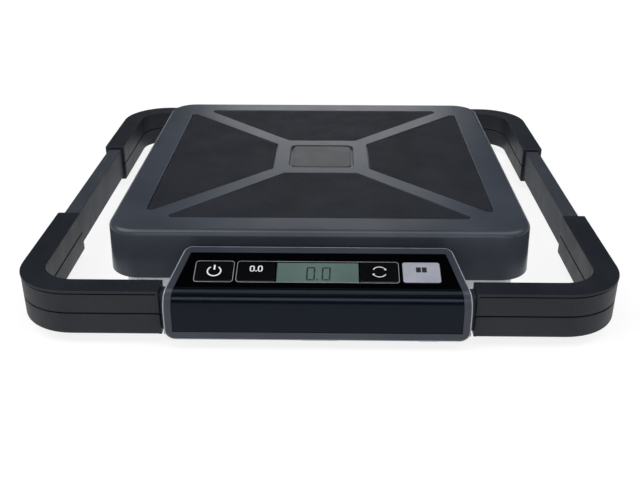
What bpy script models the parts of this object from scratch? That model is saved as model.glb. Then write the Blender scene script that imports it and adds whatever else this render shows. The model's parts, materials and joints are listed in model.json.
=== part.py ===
"""Platform shipping scale: weighing platform, tube handle frame with corner grips, lift-off display head.

Metres, +Z up, front towards -Y. The origin is on the floor, under the middle of the outer box.
"""

import math

import bmesh
import bpy
from mathutils import Matrix, Vector

# Overall sizes
frame_width = 0.4356
frame_depth = 0.425
platform_width = 0.318
platform_depth = 0.318
platform_top = 0.064
head_proud = 0.006  # the display head stands this far ahead of the handle frame

# Clearances
touch_gap = 0.0003  # between pieces that rest on each other
slide_gap = 0.0003  # around a key in its hole
lift_gap = 0.0006  # around what the display head lifts off
skirt_gap = 0.0012  # around a tube where it enters the display head
arc_steps = 8
past = 0.01  # a cutter runs on this far past what it cuts
tall = 0.12  # a cutter that passes right through the head

# Platform cover, pads and badge
cover_wall = 0.003
cover_corner = 0.024
cover_fillet = 0.0045
cover_draft = 0.0012
skirt_bottom = 0.0252
pad_recess = 0.0020
pad_thickness = 0.0009
pad_gap = 0.0006
pad_margin = 0.0244
pad_inner = 0.0415
rib_inner = 0.0105
rib_outer = 0.015  # half a rib's width at the corner, on the front and rear pads' side
side_rib_outer = 0.0085  # and on the left and right pads' side
pad_corner = 0.0035
badge_size = 0.053
badge_corner = 0.0045
badge_gap = 0.0017
badge_thickness = 0.0012

# Platform support, from the cover down
plate_thickness = 0.0015
plate_inset = 0.006
spider_thickness = 0.011
spider_arm = 0.028
spider_inset = 0.030
spider_hub = 0.055
top_block_height = 0.006
load_cell_length = 0.130
load_cell_width = 0.030
load_cell_height = 0.022
load_cell_hole = 0.007
load_cell_hole_spread = 0.016  # each lobe from the middle
load_cell_pinch = 0.00315  # half height of the slot that joins the two lobes
block_length = 0.034
bolt_radius = 0.00285
bolt_head_radius = 0.0050
bolt_head_height = 0.0032
bolt_reach = 0.011
bolt_spread = 0.015
bolt_end_gap = 0.0004
platform_travel = 0.0008
stop_radius = 0.004
stop_flange_radius = 0.007
stop_flange_height = 0.003
stop_inset = 0.016  # from the tip of a spider arm
stop_gap = 0.0002  # left under the arm when the platform is fully down

# Base tray and feet
foot_height = 0.0062
foot_radius = 0.011
foot_inset = 0.0235
foot_chamfer = 0.0012
tray_inset = 0.009
tray_wall = 0.0025
tray_corner = 0.017
tray_top = 0.040

# Handle frame
frame_corner = 0.044
grip_width = 0.0185
grip_top = 0.0427
grip_bottom = 0.0080
grip_seam = 0.0250
grip_seam_gap = 0.0009
grip_rounding = 0.0022
grip_side_end = 0.080
grip_head_gap = 0.0028
end_wall = 0.005  # between a grip's channel and its end
tube_width = 0.0125
tube_height = 0.0285
tube_wall = 0.0015
bore_overrun = 0.002
tube_bottom = 0.0111

# Bridges that tie the frame to the tray
bridge_neck_width = 0.120
bridge_neck_height = 0.0085
neck_step = 0.0002
neck_overlap = 0.001
front_beam_depth = 0.0155
front_beam_top = 0.0290
socket_length = 0.012
socket_wall = 0.0012
screw_radius = 0.0019
screw_head_radius = 0.0036
screw_head_height = 0.0022
screw_length = 0.012
screw_tip = 0.001
screw_spread = 0.080
grommet_radius = 0.0042
grommet_bore = 0.0022
grommet_flange = 0.0060
grommet_lip = 0.0010
grommet_tail = 0.001
base_grommet_height = 0.032
head_grommet_height = 0.0465

# Display head
head_depth = 0.048
head_taper = 0.0111  # the head is this much narrower at its back, on each side
head_front_height = 0.0431
head_face_angle = math.radians(17.0)
crease_run = 0.0082  # the rounding between face and front begins this far up the face
crease_drop = 0.0160  # and ends this far down the front
head_back_corner = 0.007
head_low_corner = 0.008
head_side_wall = 0.0040
head_skin = 0.0034
head_back_wall = 0.0022
panel_thickness = 0.0012
panel_sink = 0.0002
panel_side_rim = 0.0062
panel_back_rim = 0.0070
panel_low_rim = 0.0067
panel_split = 0.0085
panel_gap = 0.0002
key_width = 0.0262
key_depth = 0.0195
key_middle = 0.0245  # along the sloping face, from its front edge
key_corner = 0.0018
key_proud = 0.0003
key_stem = 0.006
key_stem_length = 0.0026
key_stem_overlap = 0.0005
key_chamfer = 0.0003
lcd_width = 0.058
lcd_strip = 0.0008
outer_strip = 0.0026
key_margin = 0.0211  # from the outer keys to the head's side, at its front
lcd_sink = 0.0008
lcd_thickness = 0.0037
board_thickness = 0.0016
board_depth = 0.028
dock_cover_thickness = 0.0018
dock_front_gap = 0.0012  # clear of the skin where it begins to curve

# Battery box in the display head
cell_diameter = 0.0145
cell_length = 0.0505
cell_count = 3
cell_gap = 0.0003
box_wall = 0.0012
contact_thickness = 0.0010
contact_margin = 0.001
cell_button_height = 0.0015
door_thickness = 0.0012
door_bottom = 0.0180
door_groove_half = (0.0008, 0.006)
door_groove_pitch = 0.004
door_groove_depth = 0.0005

# Places that follow from the sizes above
centre_y = head_proud / 2
frame_half = (frame_width / 2, frame_depth / 2)
platform_half = (platform_width / 2, platform_depth / 2)
tray_half = (platform_half[0] - tray_inset, platform_half[1] - tray_inset)
mid_inset = grip_width / 2  # from the frame's outer face to the tube's middle
tray_floor = foot_height + touch_gap + tray_wall
cover_under = platform_top - cover_wall
plate_low = cover_under - touch_gap - plate_thickness
spider_low = plate_low - touch_gap - spider_thickness
top_block_low = spider_low - touch_gap - top_block_height
load_cell_low = top_block_low - touch_gap - load_cell_height
base_block_low = tray_floor + touch_gap
tube_top = tube_bottom + tube_height
head_front = centre_y - frame_half[1] - head_proud
head_back = head_front + head_depth
inner_key_x = lcd_width / 2 + lcd_strip + slide_gap + key_width / 2
outer_key_x = inner_key_x + key_width + 2 * slide_gap + outer_strip
head_front_half = outer_key_x + key_width / 2 + key_margin
front_beam_y = centre_y - frame_half[1] + mid_inset
neck_top = grip_bottom + bridge_neck_height
board_level = panel_sink + lcd_sink + lcd_thickness + touch_gap


def head_half(y):
    """Half the head's width at this depth, before its wall is taken off."""
    return head_front_half - (y - head_front) * head_taper / head_depth


front_beam_half = (
    head_half(front_beam_y + front_beam_depth / 2) - head_side_wall - lift_gap
)
grip_front_end = head_front_half + grip_head_gap
rear_beam_half = grip_front_end - touch_gap
front_tube_end = front_beam_half - socket_length + touch_gap
rear_tube_end = rear_beam_half - socket_length + touch_gap
dock_half = front_beam_half - socket_length - socket_wall - lift_gap
bay_back = head_back - head_back_wall - touch_gap
bay_depth = cell_diameter + 2 * (cell_gap + box_wall)
bay_half = cell_count * (cell_length + cell_gap) / 2 + contact_thickness + cell_gap + box_wall
cell_y = bay_back - bay_depth / 2
door_top = door_bottom + door_thickness
cell_z = door_top + touch_gap + cell_gap + cell_diameter / 2
bay_top = cell_z + cell_diameter / 2 + cell_gap + box_wall

# Local axes laid along world axes: the outline's x, its y, and the way it is thickened
flat = Matrix.Identity(4)
side_on = Matrix(((0, 0, 1, 0), (1, 0, 0, 0), (0, 1, 0, 0), (0, 0, 0, 1)))
front_on = Matrix(((1, 0, 0, 0), (0, 0, -1, 0), (0, 1, 0, 0), (0, 0, 0, 1)))
face_frame = Matrix.Translation((0, head_front, head_front_height)) @ Matrix.Rotation(
    head_face_angle, 4, "X"
)


def at(x, y, z):
    return Matrix.Translation((x, y, z))


def linear(hex_colour):
    values = [int(hex_colour[i : i + 2], 16) / 255 for i in (1, 3, 5)]
    return [v / 12.92 if v <= 0.04045 else ((v + 0.055) / 1.055) ** 2.4 for v in values]


def material(name, hex_colour, roughness, metallic=0.0):
    made = bpy.data.materials.new(name)
    made.use_nodes = True
    shader = made.node_tree.nodes["Principled BSDF"]
    shader.inputs["Base Color"].default_value = (*linear(hex_colour), 1)
    shader.inputs["Roughness"].default_value = roughness
    shader.inputs["Metallic"].default_value = metallic
    made.diffuse_color = (*linear(hex_colour), 1)
    return made


def clear_scene():
    for obj in list(bpy.data.objects):
        bpy.data.objects.remove(obj, do_unlink=True)


def new_collection(name):
    made = bpy.data.collections.new(name)
    bpy.context.scene.collection.children.link(made)
    return made


clear_scene()
parts = new_collection("platform_shipping_scale")
cutters = new_collection("cutters")
cutters.hide_render = True

slate = material("slate_plastic", "#4c5058", 0.45)
slate_dark = material("dark_slate_plastic", "#2b3038", 0.5)
pad_rubber = material("pad_rubber", "#26292f", 0.8)
badge_finish = material("badge_plate", "#4b4d50", 0.4)
tray_plastic = material("light_grey_plastic", "#a9adb8", 0.55)
tube_paint = material("painted_tube", "#4a4f59", 0.4, 0.2)
steel = material("zinc_plated_steel", "#9a9da1", 0.35, 0.9)
aluminium = material("aluminium", "#b4b7bb", 0.35, 0.9)
gloss_black = material("gloss_black_panel", "#08090b", 0.08)
key_black = material("black_key", "#0c0d10", 0.2)
key_silver = material("silver_key", "#a5a8b5", 0.35, 0.3)
lcd_glass = material("lcd_glass", "#7d8f88", 0.25)
board_green = material("circuit_board", "#1f5a36", 0.5)
rubber = material("black_rubber", "#15161a", 0.85)
cell_wrap = material("battery_wrap", "#3c3f45", 0.35)


def finish(obj, skin, body=None):
    """Names the finish, shades smooth across gentle edges, and files the piece under its body."""
    obj.data.materials.clear()
    obj.data.materials.append(skin)
    obj.data.shade_smooth()
    obj.data.set_sharp_from_angle(angle=math.radians(30))
    parts.objects.link(obj)
    if body is not None:
        place = obj.matrix_world.copy()
        obj.parent = body
        obj.matrix_parent_inverse = Matrix.Identity(4)
        obj.matrix_local = body_place[body.name].inverted() @ place
    return obj


def mesh_object(name, mesh, place):
    obj = bpy.data.objects.new(name, mesh)
    obj.matrix_world = place
    return obj


body_place = {}


def moving_body(name, place):
    """An empty on the joint's axis, which carries the pieces that move together."""
    empty = bpy.data.objects.new(name, None)
    empty.matrix_world = place
    empty.empty_display_size = 0.02
    parts.objects.link(empty)
    body_place[name] = place.copy()
    return empty


def solid(name, loops, height, place=flat):
    """A closed outline, with any holes, thickened upwards from its own plane."""
    curve = bpy.data.curves.new(name, "CURVE")
    curve.dimensions = "2D"
    curve.fill_mode = "BOTH"
    curve.extrude = height / 2
    for loop in loops:
        spline = curve.splines.new("POLY")
        spline.points.add(len(loop) - 1)
        for point, (x, y) in zip(spline.points, loop):
            point.co = (x, y, 0, 1)
        spline.use_cyclic_u = True
    shape = bpy.data.objects.new(name, curve)
    cutters.objects.link(shape)
    graph = bpy.context.evaluated_depsgraph_get()
    mesh = bpy.data.meshes.new_from_object(shape.evaluated_get(graph))
    bpy.data.objects.remove(shape, do_unlink=True)
    bpy.data.curves.remove(curve)
    form = bmesh.new()
    form.from_mesh(mesh)
    bmesh.ops.remove_doubles(form, verts=form.verts, dist=1e-6)
    bmesh.ops.dissolve_limit(
        form, angle_limit=0.001, verts=form.verts, edges=form.edges
    )
    bmesh.ops.translate(form, verts=form.verts, vec=(0, 0, height / 2))
    bmesh.ops.recalc_face_normals(form, faces=form.faces)
    form.to_mesh(mesh)
    form.free()
    mesh.name = name
    return mesh_object(name, mesh, place)


def turned(name, profile, steps, place=flat, closed=False):
    """A round piece: a profile of (radius, height) points, down its outer side, turned about Z."""
    count = len(profile)
    edges = [(i, i + 1) for i in range(count - 1)]
    if closed:
        edges.append((count - 1, 0))
    mesh = bpy.data.meshes.new(name)
    mesh.from_pydata([(r, 0, z) for r, z in profile], edges, [])
    obj = mesh_object(name, mesh, place)
    screw = obj.modifiers.new("turn", "SCREW")
    screw.axis = "Z"
    screw.steps = screw.render_steps = steps
    screw.use_merge_vertices = True
    screw.merge_threshold = 0.00001
    return obj


def bevel(obj, width, segments, chosen):
    """Rounds the edges whose two ends both pass the test, which reads local coordinates."""
    form = bmesh.new()
    form.from_mesh(obj.data)
    edges = [e for e in form.edges if all(chosen(v.co) for v in e.verts)]
    bmesh.ops.bevel(
        form, geom=edges, offset=width, segments=segments, profile=0.5, affect="EDGES"
    )
    bmesh.ops.recalc_face_normals(form, faces=form.faces)
    form.to_mesh(obj.data)
    form.free()
    return obj


def combine(obj, other, operation):
    """Boolean with a helper, which is kept as a hidden wire."""
    if other.name not in cutters.objects:
        cutters.objects.link(other)
        other.hide_render = True
        other.display_type = "WIRE"
    step = obj.modifiers.new(operation.lower() + "_" + other.name, "BOOLEAN")
    step.operation = operation
    step.object = other
    return obj


def cut(obj, *others):
    for other in others:
        combine(obj, other, "DIFFERENCE")
    return obj


def rounded(points, radii, steps=arc_steps):
    """A polygon with each corner rounded to its own radius."""
    if isinstance(radii, float):
        radii = [radii] * len(points)
    outline = []
    for index, (corner, radius) in enumerate(zip(points, radii)):
        here = Vector(corner)
        before = (Vector(points[index - 1]) - here).normalized()
        after = (Vector(points[(index + 1) % len(points)]) - here).normalized()
        if radius <= 0:
            outline.append(tuple(here))
            continue
        half_angle = before.angle(after) / 2
        middle = here + (before + after).normalized() * radius / math.sin(half_angle)
        start = here + before * radius / math.tan(half_angle) - middle
        end = here + after * radius / math.tan(half_angle) - middle
        sweep = start.angle_signed(end)
        for step in range(steps + 1):
            turn = Matrix.Rotation(-sweep * step / steps, 2)
            outline.append(tuple(middle + turn @ start))
    return outline


def rectangle(half_x, half_y, radius=0.0, middle=(0, 0), steps=arc_steps):
    x, y = middle
    corners = [
        (x - half_x, y - half_y),
        (x + half_x, y - half_y),
        (x + half_x, y + half_y),
        (x - half_x, y + half_y),
    ]
    return rounded(corners, radius, steps) if radius else corners


def box(name, low, high):
    half_x, half_y = (high[0] - low[0]) / 2, (high[1] - low[1]) / 2
    middle = ((high[0] + low[0]) / 2, (high[1] + low[1]) / 2)
    return solid(name, [rectangle(half_x, half_y)], high[2] - low[2], at(*middle, low[2]))


def cylinder(name, radius, low, high, place=flat, steps=24):
    return turned(name, [(0, high), (radius, high), (radius, low), (0, low)], steps, place)


def frame_corner_arc(side_x, side_y, offset, steps=arc_steps):
    """One plan corner of the frame's middle line, moved outwards by offset, front or back first."""
    radius = frame_corner - mid_inset + offset
    middle_x = side_x * (frame_half[0] - frame_corner)
    middle_y = side_y * (frame_half[1] - frame_corner)
    points = []
    for step in range(steps + 1):
        angle = math.pi / 2 * step / steps
        points.append(
            (middle_x + side_x * radius * math.sin(angle), middle_y + side_y * radius * math.cos(angle))
        )
    return points


def grip_band(side_x, side_y, width, end_x, end_y):
    """Plan outline of a corner band, from end_x on the front or back to end_y on the side."""
    lines = []
    for offset in (width / 2, -width / 2):
        level = side_y * (frame_half[1] - mid_inset + offset)
        edge = side_x * (frame_half[0] - mid_inset + offset)
        arc = frame_corner_arc(side_x, side_y, offset)
        lines.append([(side_x * end_x, level)] + arc + [(edge, side_y * end_y)])
    return lines[0] + lines[1][::-1]


def tube_band(side_x, width, past_end=0.0):
    """Plan outline of one side's tube, from the front bridge round to the rear bridge."""
    front_end, rear_end = front_tube_end - past_end, rear_tube_end - past_end
    lines = []
    for offset in (width / 2, -width / 2):
        level = frame_half[1] - mid_inset + offset
        front = frame_corner_arc(side_x, -1, offset)
        back = frame_corner_arc(side_x, 1, offset)[::-1]
        lines.append([(side_x * front_end, -level)] + front + back + [(side_x * rear_end, level)])
    return lines[0] + lines[1][::-1]


def make_tubes():
    for name, side_x in (("left", -1), ("right", 1)):
        tube = solid(
            name + "_handle_tube",
            [tube_band(side_x, tube_width)],
            tube_height,
            at(0, centre_y, tube_bottom),
        )
        bore = solid(
            name + "_tube_bore",
            [tube_band(side_x, tube_width - 2 * tube_wall, bore_overrun)],
            tube_height - 2 * tube_wall,
            at(0, centre_y, tube_bottom + tube_wall),
        )
        finish(cut(tube, bore), tube_paint)


def grip_channel(side_x, side_y, low, high):
    """The space that the tube takes inside a grip."""
    clear = tube_width + 2 * touch_gap
    band = grip_band(
        side_x, side_y, clear, grip_front_end - end_wall, grip_side_end - end_wall
    )
    return solid("channel", [band], high - low, at(0, centre_y, low))


def make_grips():
    ends = {"front": -1, "rear": 1}
    sides = {"left": -1, "right": 1}
    for end, side_y in ends.items():
        for side, side_x in sides.items():
            band = grip_band(side_x, side_y, grip_width, grip_front_end, grip_side_end)
            halves = {
                "upper": (grip_seam + grip_seam_gap / 2, grip_top),
                "lower": (grip_bottom, grip_seam - grip_seam_gap / 2),
            }
            for half, (low, high) in halves.items():
                height = high - low
                grip = solid(f"{end}_{side}_grip_{half}", [band], height, at(0, centre_y, low))
                level = height if half == "upper" else 0
                bevel(grip, grip_rounding, 2, lambda co, z=level: abs(co.z - z) < 1e-6)
                if half == "upper":
                    channel = grip_channel(side_x, side_y, low - past, tube_top + touch_gap)
                else:
                    channel = grip_channel(side_x, side_y, tube_bottom - touch_gap, high + past)
                finish(cut(grip, channel), slate_dark)


def socket_pocket(side_x, side_y, half_length):
    """The pocket at a bridge's end that takes a tube's end."""
    near = half_length - socket_length
    x = sorted((side_x * near, side_x * (half_length + past)))
    y = centre_y + side_y * (frame_half[1] - mid_inset)
    half = tube_width / 2 + touch_gap
    return box(
        "tube_pocket",
        (x[0], y - half, tube_bottom - touch_gap),
        (x[1], y + half, tube_top + touch_gap),
    )


def make_bridge(name, side_y, half_length, beam_depth, beam_top, tower_top, tower_length):
    """A beam between the two tubes, and a flat neck from it to the tray."""
    beam_y = centre_y + side_y * (frame_half[1] - mid_inset)
    inner = half_length - tower_length
    profile = [
        (-half_length, grip_bottom),
        (half_length, grip_bottom),
        (half_length, tower_top),
        (inner, tower_top),
        (inner, beam_top),
        (-inner, beam_top),
        (-inner, tower_top),
        (-half_length, tower_top),
    ]
    if tower_top == beam_top:
        profile = [profile[i] for i in (0, 1, 2, 7)]
    beam = solid(name, [profile], beam_depth, at(0, beam_y + beam_depth / 2, 0) @ front_on)
    tray_face = centre_y + side_y * (tray_half[1] + touch_gap)
    neck_y = sorted((tray_face, beam_y - side_y * (beam_depth / 2 - neck_overlap)))
    half_neck = bridge_neck_width / 2
    neck = box(
        name + "_neck",
        (-half_neck, neck_y[0], grip_bottom + neck_step),
        (half_neck, neck_y[1], neck_top),
    )
    combine(beam, neck, "UNION")
    for side_x in (-1, 1):
        cut(beam, socket_pocket(side_x, side_y, half_length))
    return beam, tray_face


def make_bridges(tray):
    screw_z = tray_floor + screw_head_radius + 2 * touch_gap
    bridges = (
        ("front_bridge", -1, front_beam_half, front_beam_depth, front_beam_top),
        ("rear_bridge", 1, rear_beam_half, grip_width, grip_top),
    )
    for name, side_y, half_length, depth, beam_top in bridges:
        front = side_y < 0
        tower_top = tube_top + touch_gap + socket_wall if front else beam_top
        tower_length = socket_length + socket_wall
        beam, tray_face = make_bridge(
            name, side_y, half_length, depth, beam_top, tower_top, tower_length
        )
        wall_inside = tray_face - side_y * (touch_gap + tray_wall)
        for side_x, label in ((-1, "left"), (1, "right")):
            # A screw's own Z runs from its tip to its head, into the tray
            turn = Matrix.Rotation(math.radians(90 * side_y), 4, "X")
            place = at(side_x * screw_spread / 2, wall_inside - side_y * touch_gap, screw_z) @ turn
            hole = cylinder(
                "screw_hole", screw_radius + touch_gap, -screw_length - screw_tip, past / 2, place, 12
            )
            cut(beam, hole)
            cut(tray, hole)
            tip = -screw_length
            profile = [
                (0, screw_head_height),
                (screw_head_radius * 0.7, screw_head_height),
                (screw_head_radius, screw_head_height * 0.5),
                (screw_head_radius, 0),
                (screw_radius, 0),
                (screw_radius, tip + screw_tip),
                (screw_radius * 0.5, tip),
                (0, tip),
            ]
            end = "front" if front else "rear"
            finish(turned(f"{end}_bridge_screw_{label}", profile, 12, place), steel)
        finish(beam, slate_dark)


def make_tray():
    """An open-topped tray: its walls stand inside the platform's skirt."""
    low = foot_height + touch_gap
    tray = solid(
        "base_tray",
        [rectangle(*tray_half, tray_corner)],
        tray_top - low,
        at(0, centre_y, low),
    )
    form = bmesh.new()
    form.from_mesh(tray.data)
    lids = [f for f in form.faces if f.normal.z > 0.9]
    bmesh.ops.delete(form, geom=lids, context="FACES_ONLY")
    form.to_mesh(tray.data)
    form.free()
    wall = tray.modifiers.new("wall", "SOLIDIFY")
    wall.thickness = tray_wall
    wall.offset = -1
    wall.use_even_offset = True
    return tray


def make_feet():
    x, y = tray_half[0] - foot_inset, tray_half[1] - foot_inset
    for end, side_y in (("front", -1), ("rear", 1)):
        for side, side_x in (("left", -1), ("right", 1)):
            profile = [
                (0, foot_height),
                (foot_radius, foot_height),
                (foot_radius, foot_chamfer),
                (foot_radius - foot_chamfer, 0),
                (0, 0),
            ]
            place = at(side_x * x, centre_y + side_y * y, 0)
            finish(turned(f"{end}_{side}_foot", profile, 20, place), rubber)


def make_stops():
    """Studs that the spider's arms come down on when the platform is overloaded."""
    reach_x = platform_half[0] - spider_inset - stop_inset
    reach_y = platform_half[1] - spider_inset - stop_inset
    low = tray_floor + touch_gap
    top = spider_low - platform_travel - stop_gap
    for end, side_y in (("front", -1), ("rear", 1)):
        for side, side_x in (("left", -1), ("right", 1)):
            height = top - low
            profile = [
                (0, height),
                (stop_radius, height),
                (stop_radius, stop_flange_height),
                (stop_flange_radius, stop_flange_height),
                (stop_flange_radius, 0),
                (0, 0),
            ]
            place = at(side_x * reach_x, centre_y + side_y * reach_y, low)
            finish(turned(f"{end}_{side}_overload_stop", profile, 16, place), steel)


def make_load_cell(platform, tray):
    """One bending beam: its right end stands on the tray, its left end carries the platform."""
    half = load_cell_length / 2
    middle = load_cell_height / 2
    lobe = load_cell_hole
    past_quarter = math.pi / 2 - math.asin(load_cell_pinch / lobe)
    lobes = []
    for side in (1, -1):
        start = -side * math.pi / 2 - past_quarter
        for step in range(arc_steps + 1):
            angle = start + (math.pi + 2 * past_quarter) * step / arc_steps
            x = side * load_cell_hole_spread + lobe * math.cos(angle)
            lobes.append((x, middle + lobe * math.sin(angle)))
    place = at(0, centre_y + load_cell_width / 2, load_cell_low) @ front_on
    outline = [(-half, 0), (half, 0), (half, load_cell_height), (-half, load_cell_height)]
    cell = solid("load_cell", [outline, lobes], load_cell_width, place)

    block_half = block_length / 2
    end_x = half - block_half
    base_block = box(
        "load_cell_base_block",
        (end_x - block_half, centre_y - load_cell_width / 2, base_block_low),
        (end_x + block_half, centre_y + load_cell_width / 2, load_cell_low - touch_gap),
    )
    top_block = box(
        "load_cell_top_block",
        (-end_x - block_half, centre_y - load_cell_width / 2, top_block_low),
        (-end_x + block_half, centre_y + load_cell_width / 2, top_block_low + top_block_height),
    )
    spider = make_spider()
    for number, step in ((1, -0.5), (2, 0.5)):
        lower = at(end_x + step * bolt_spread, centre_y, foot_height)
        length = load_cell_low + bolt_reach - foot_height
        hole = cylinder("lower_bolt_hole", bolt_radius + touch_gap, -past / 2, length + bolt_end_gap, lower)
        cut(tray, hole)
        cut(base_block, hole)
        cut(cell, hole)
        profile = [
            (0, length),
            (bolt_radius, length),
            (bolt_radius, 0),
            (bolt_head_radius, 0),
            (bolt_head_radius, -bolt_head_height),
            (0, -bolt_head_height),
        ]
        finish(turned(f"load_cell_lower_bolt_{number}", profile, 12, lower), steel)

        seat = spider_low + spider_thickness - bolt_head_height - bolt_end_gap
        upper = at(-end_x + step * bolt_spread, centre_y, seat)
        length = seat - (load_cell_low + load_cell_height - bolt_reach)
        hole = cylinder("upper_bolt_hole", bolt_radius + touch_gap, -length - bolt_end_gap, past / 2, upper)
        sink = cylinder(
            "bolt_counterbore", bolt_head_radius + touch_gap, -touch_gap, past, upper
        )
        cut(top_block, hole)
        cut(cell, hole)
        cut(spider, hole, sink)
        profile = [
            (0, bolt_head_height),
            (bolt_head_radius, bolt_head_height),
            (bolt_head_radius, 0),
            (bolt_radius, 0),
            (bolt_radius, -length),
            (0, -length),
        ]
        bolt = turned(f"load_cell_upper_bolt_{number}", profile, 12, upper)
        finish(bolt, steel, platform)
    finish(cell, aluminium)
    finish(base_block, aluminium)
    finish(top_block, aluminium, platform)
    finish(spider, aluminium, platform)


def make_spider():
    """A cross of four arms on the diagonals, with a broad middle."""
    reach_x = platform_half[0] - spider_inset
    reach_y = platform_half[1] - spider_inset
    half = spider_arm / 2 * math.sqrt(2)
    points = []
    for side_x, side_y in ((1, -1), (1, 1), (-1, 1), (-1, -1)):
        x, y = side_x * reach_x, side_y * reach_y
        tips = [(x, y - side_y * half), (x, y), (x - side_x * half, y)]
        roots = [
            (side_x * spider_hub, side_y * (spider_hub - half)),
            (side_x * (spider_hub - half), side_y * spider_hub),
        ]
        corner = [roots[0]] + tips + [roots[1]]
        points += corner if side_x * side_y > 0 else corner[::-1]
    return solid("platform_spider", [points], spider_thickness, at(0, centre_y, spider_low))


def pad_outline(side, inset):
    """A pad's trapezoid: 'front', 'rear', 'left' or 'right', drawn in by inset all round."""
    lengthwise = side in ("front", "rear")
    outer = platform_half[1 if lengthwise else 0] - pad_margin
    across = platform_half[0 if lengthwise else 1] - pad_margin
    slant = inset * math.tan(math.radians(22.5))
    wide = across - (rib_outer if lengthwise else side_rib_outer) - inset - slant
    narrow = pad_inner - rib_inner - inset + slant
    points = [
        (-wide, -outer + inset),
        (wide, -outer + inset),
        (narrow, -pad_inner - inset),
        (-narrow, -pad_inner - inset),
    ]
    turns = {"front": 0, "right": 1, "rear": 2, "left": 3}[side]
    for _ in range(turns):
        points = [(-y, x) for x, y in points]
    return rounded(points, pad_corner, 4)


def make_cover(platform):
    """The moulded cover: a shallow lid with recesses for the four pads and the badge."""
    height = platform_top - skirt_bottom
    place = at(0, centre_y, skirt_bottom)
    cover = solid("platform_cover", [rectangle(*platform_half, cover_corner)], height, place)
    form = bmesh.new()
    form.from_mesh(cover.data)
    floor = [f for f in form.faces if f.normal.z < -0.9]
    bmesh.ops.delete(form, geom=floor, context="FACES_ONLY")
    for vert in form.verts:
        if vert.co.z < 1e-6:
            vert.co.x *= 1 + cover_draft / platform_half[0]
            vert.co.y *= 1 + cover_draft / platform_half[1]
    form.to_mesh(cover.data)
    form.free()
    bevel(cover, cover_fillet, 3, lambda co: abs(co.z - height) < 1e-6)
    wall = cover.modifiers.new("wall", "SOLIDIFY")
    wall.thickness = cover_wall
    wall.offset = -1
    wall.use_even_offset = True

    pad_low = platform_top - pad_recess
    for side in ("front", "rear", "left", "right"):
        recess = solid(
            side + "_pad_recess", [pad_outline(side, 0)], past, at(0, centre_y, pad_low)
        )
        cut(cover, recess)
        pad = solid(
            side + "_pad",
            [pad_outline(side, pad_gap)],
            pad_thickness,
            at(0, centre_y, pad_low + touch_gap),
        )
        finish(pad, pad_rubber, platform)
    half = badge_size / 2
    recess = solid(
        "badge_recess",
        [rectangle(half + badge_gap, half + badge_gap, badge_corner + badge_gap, steps=5)],
        past,
        at(0, centre_y, pad_low),
    )
    cut(cover, recess)
    badge = solid(
        "centre_badge",
        [rectangle(half, half, badge_corner, steps=5)],
        badge_thickness,
        at(0, centre_y, pad_low + touch_gap),
    )
    finish(badge, badge_finish, platform)
    finish(cover, slate, platform)

    sheet = solid(
        "platform_plate",
        [
            rectangle(
                platform_half[0] - plate_inset,
                platform_half[1] - plate_inset,
                cover_corner - plate_inset,
                steps=5,
            )
        ],
        plate_thickness,
        at(0, centre_y, plate_low),
    )
    finish(sheet, steel, platform)


def head_plan(side_inset, back_inset, corner=0.0):
    """Plan outline of the head, drawn in from its sides and back, and run on past its front."""
    front, back = head_front - past, head_back - back_inset
    near, far = head_half(front) - side_inset, head_half(back) - side_inset
    points = [(-near, front), (near, front), (far, back), (-far, back)]
    return rounded(points, [0.0, 0.0, corner, corner], 5)


def face_line(outward, back_end, low_end):
    """The line over the sloping face, round the crease and down the front, moved outwards."""
    low = Vector((head_front, head_front_height - crease_drop))
    corner = Vector((head_front, head_front_height))
    high = (face_frame @ Vector((0, crease_run, 0))).yz
    points = [(head_front - outward, low_end)]
    for step in range(arc_steps + 1):
        t = step / arc_steps
        way = ((corner - low) * (1 - t) + (high - corner) * t).normalized()
        middle = low * (1 - t) ** 2 + corner * 2 * t * (1 - t) + high * t**2
        points.append((middle.x - way.y * outward, middle.y + way.x * outward))
    end = face_frame @ Vector((0, back_end, outward))
    points.append((end.y, end.z))
    return points


def face_strip(name, outer, inner, back_end, low_end, half_width):
    """A skin over the face and front, between two depths, right across the head."""
    points = face_line(outer, back_end, low_end) + face_line(inner, back_end, low_end)[::-1]
    return solid(name, [points], 2 * half_width, at(-half_width, 0, 0) @ side_on)


def head_form(name, skin, side, back, low):
    """The head's wedge, drawn in by a skin over the face and walls at its sides and back."""
    reach = head_depth / math.cos(head_face_angle) + 2 * past
    line = face_line(-skin, reach, low)
    profile = line + [(line[-1][0], low)]
    wide = head_front_half + past
    wedge = solid(name, [profile], 2 * wide, at(-wide, 0, 0) @ side_on)
    outline = head_plan(side, back, head_back_corner - side)
    plan = solid(name + "_plan", [outline], tall, at(0, 0, -2 * past))
    return combine(wedge, plan, "INTERSECT")


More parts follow.
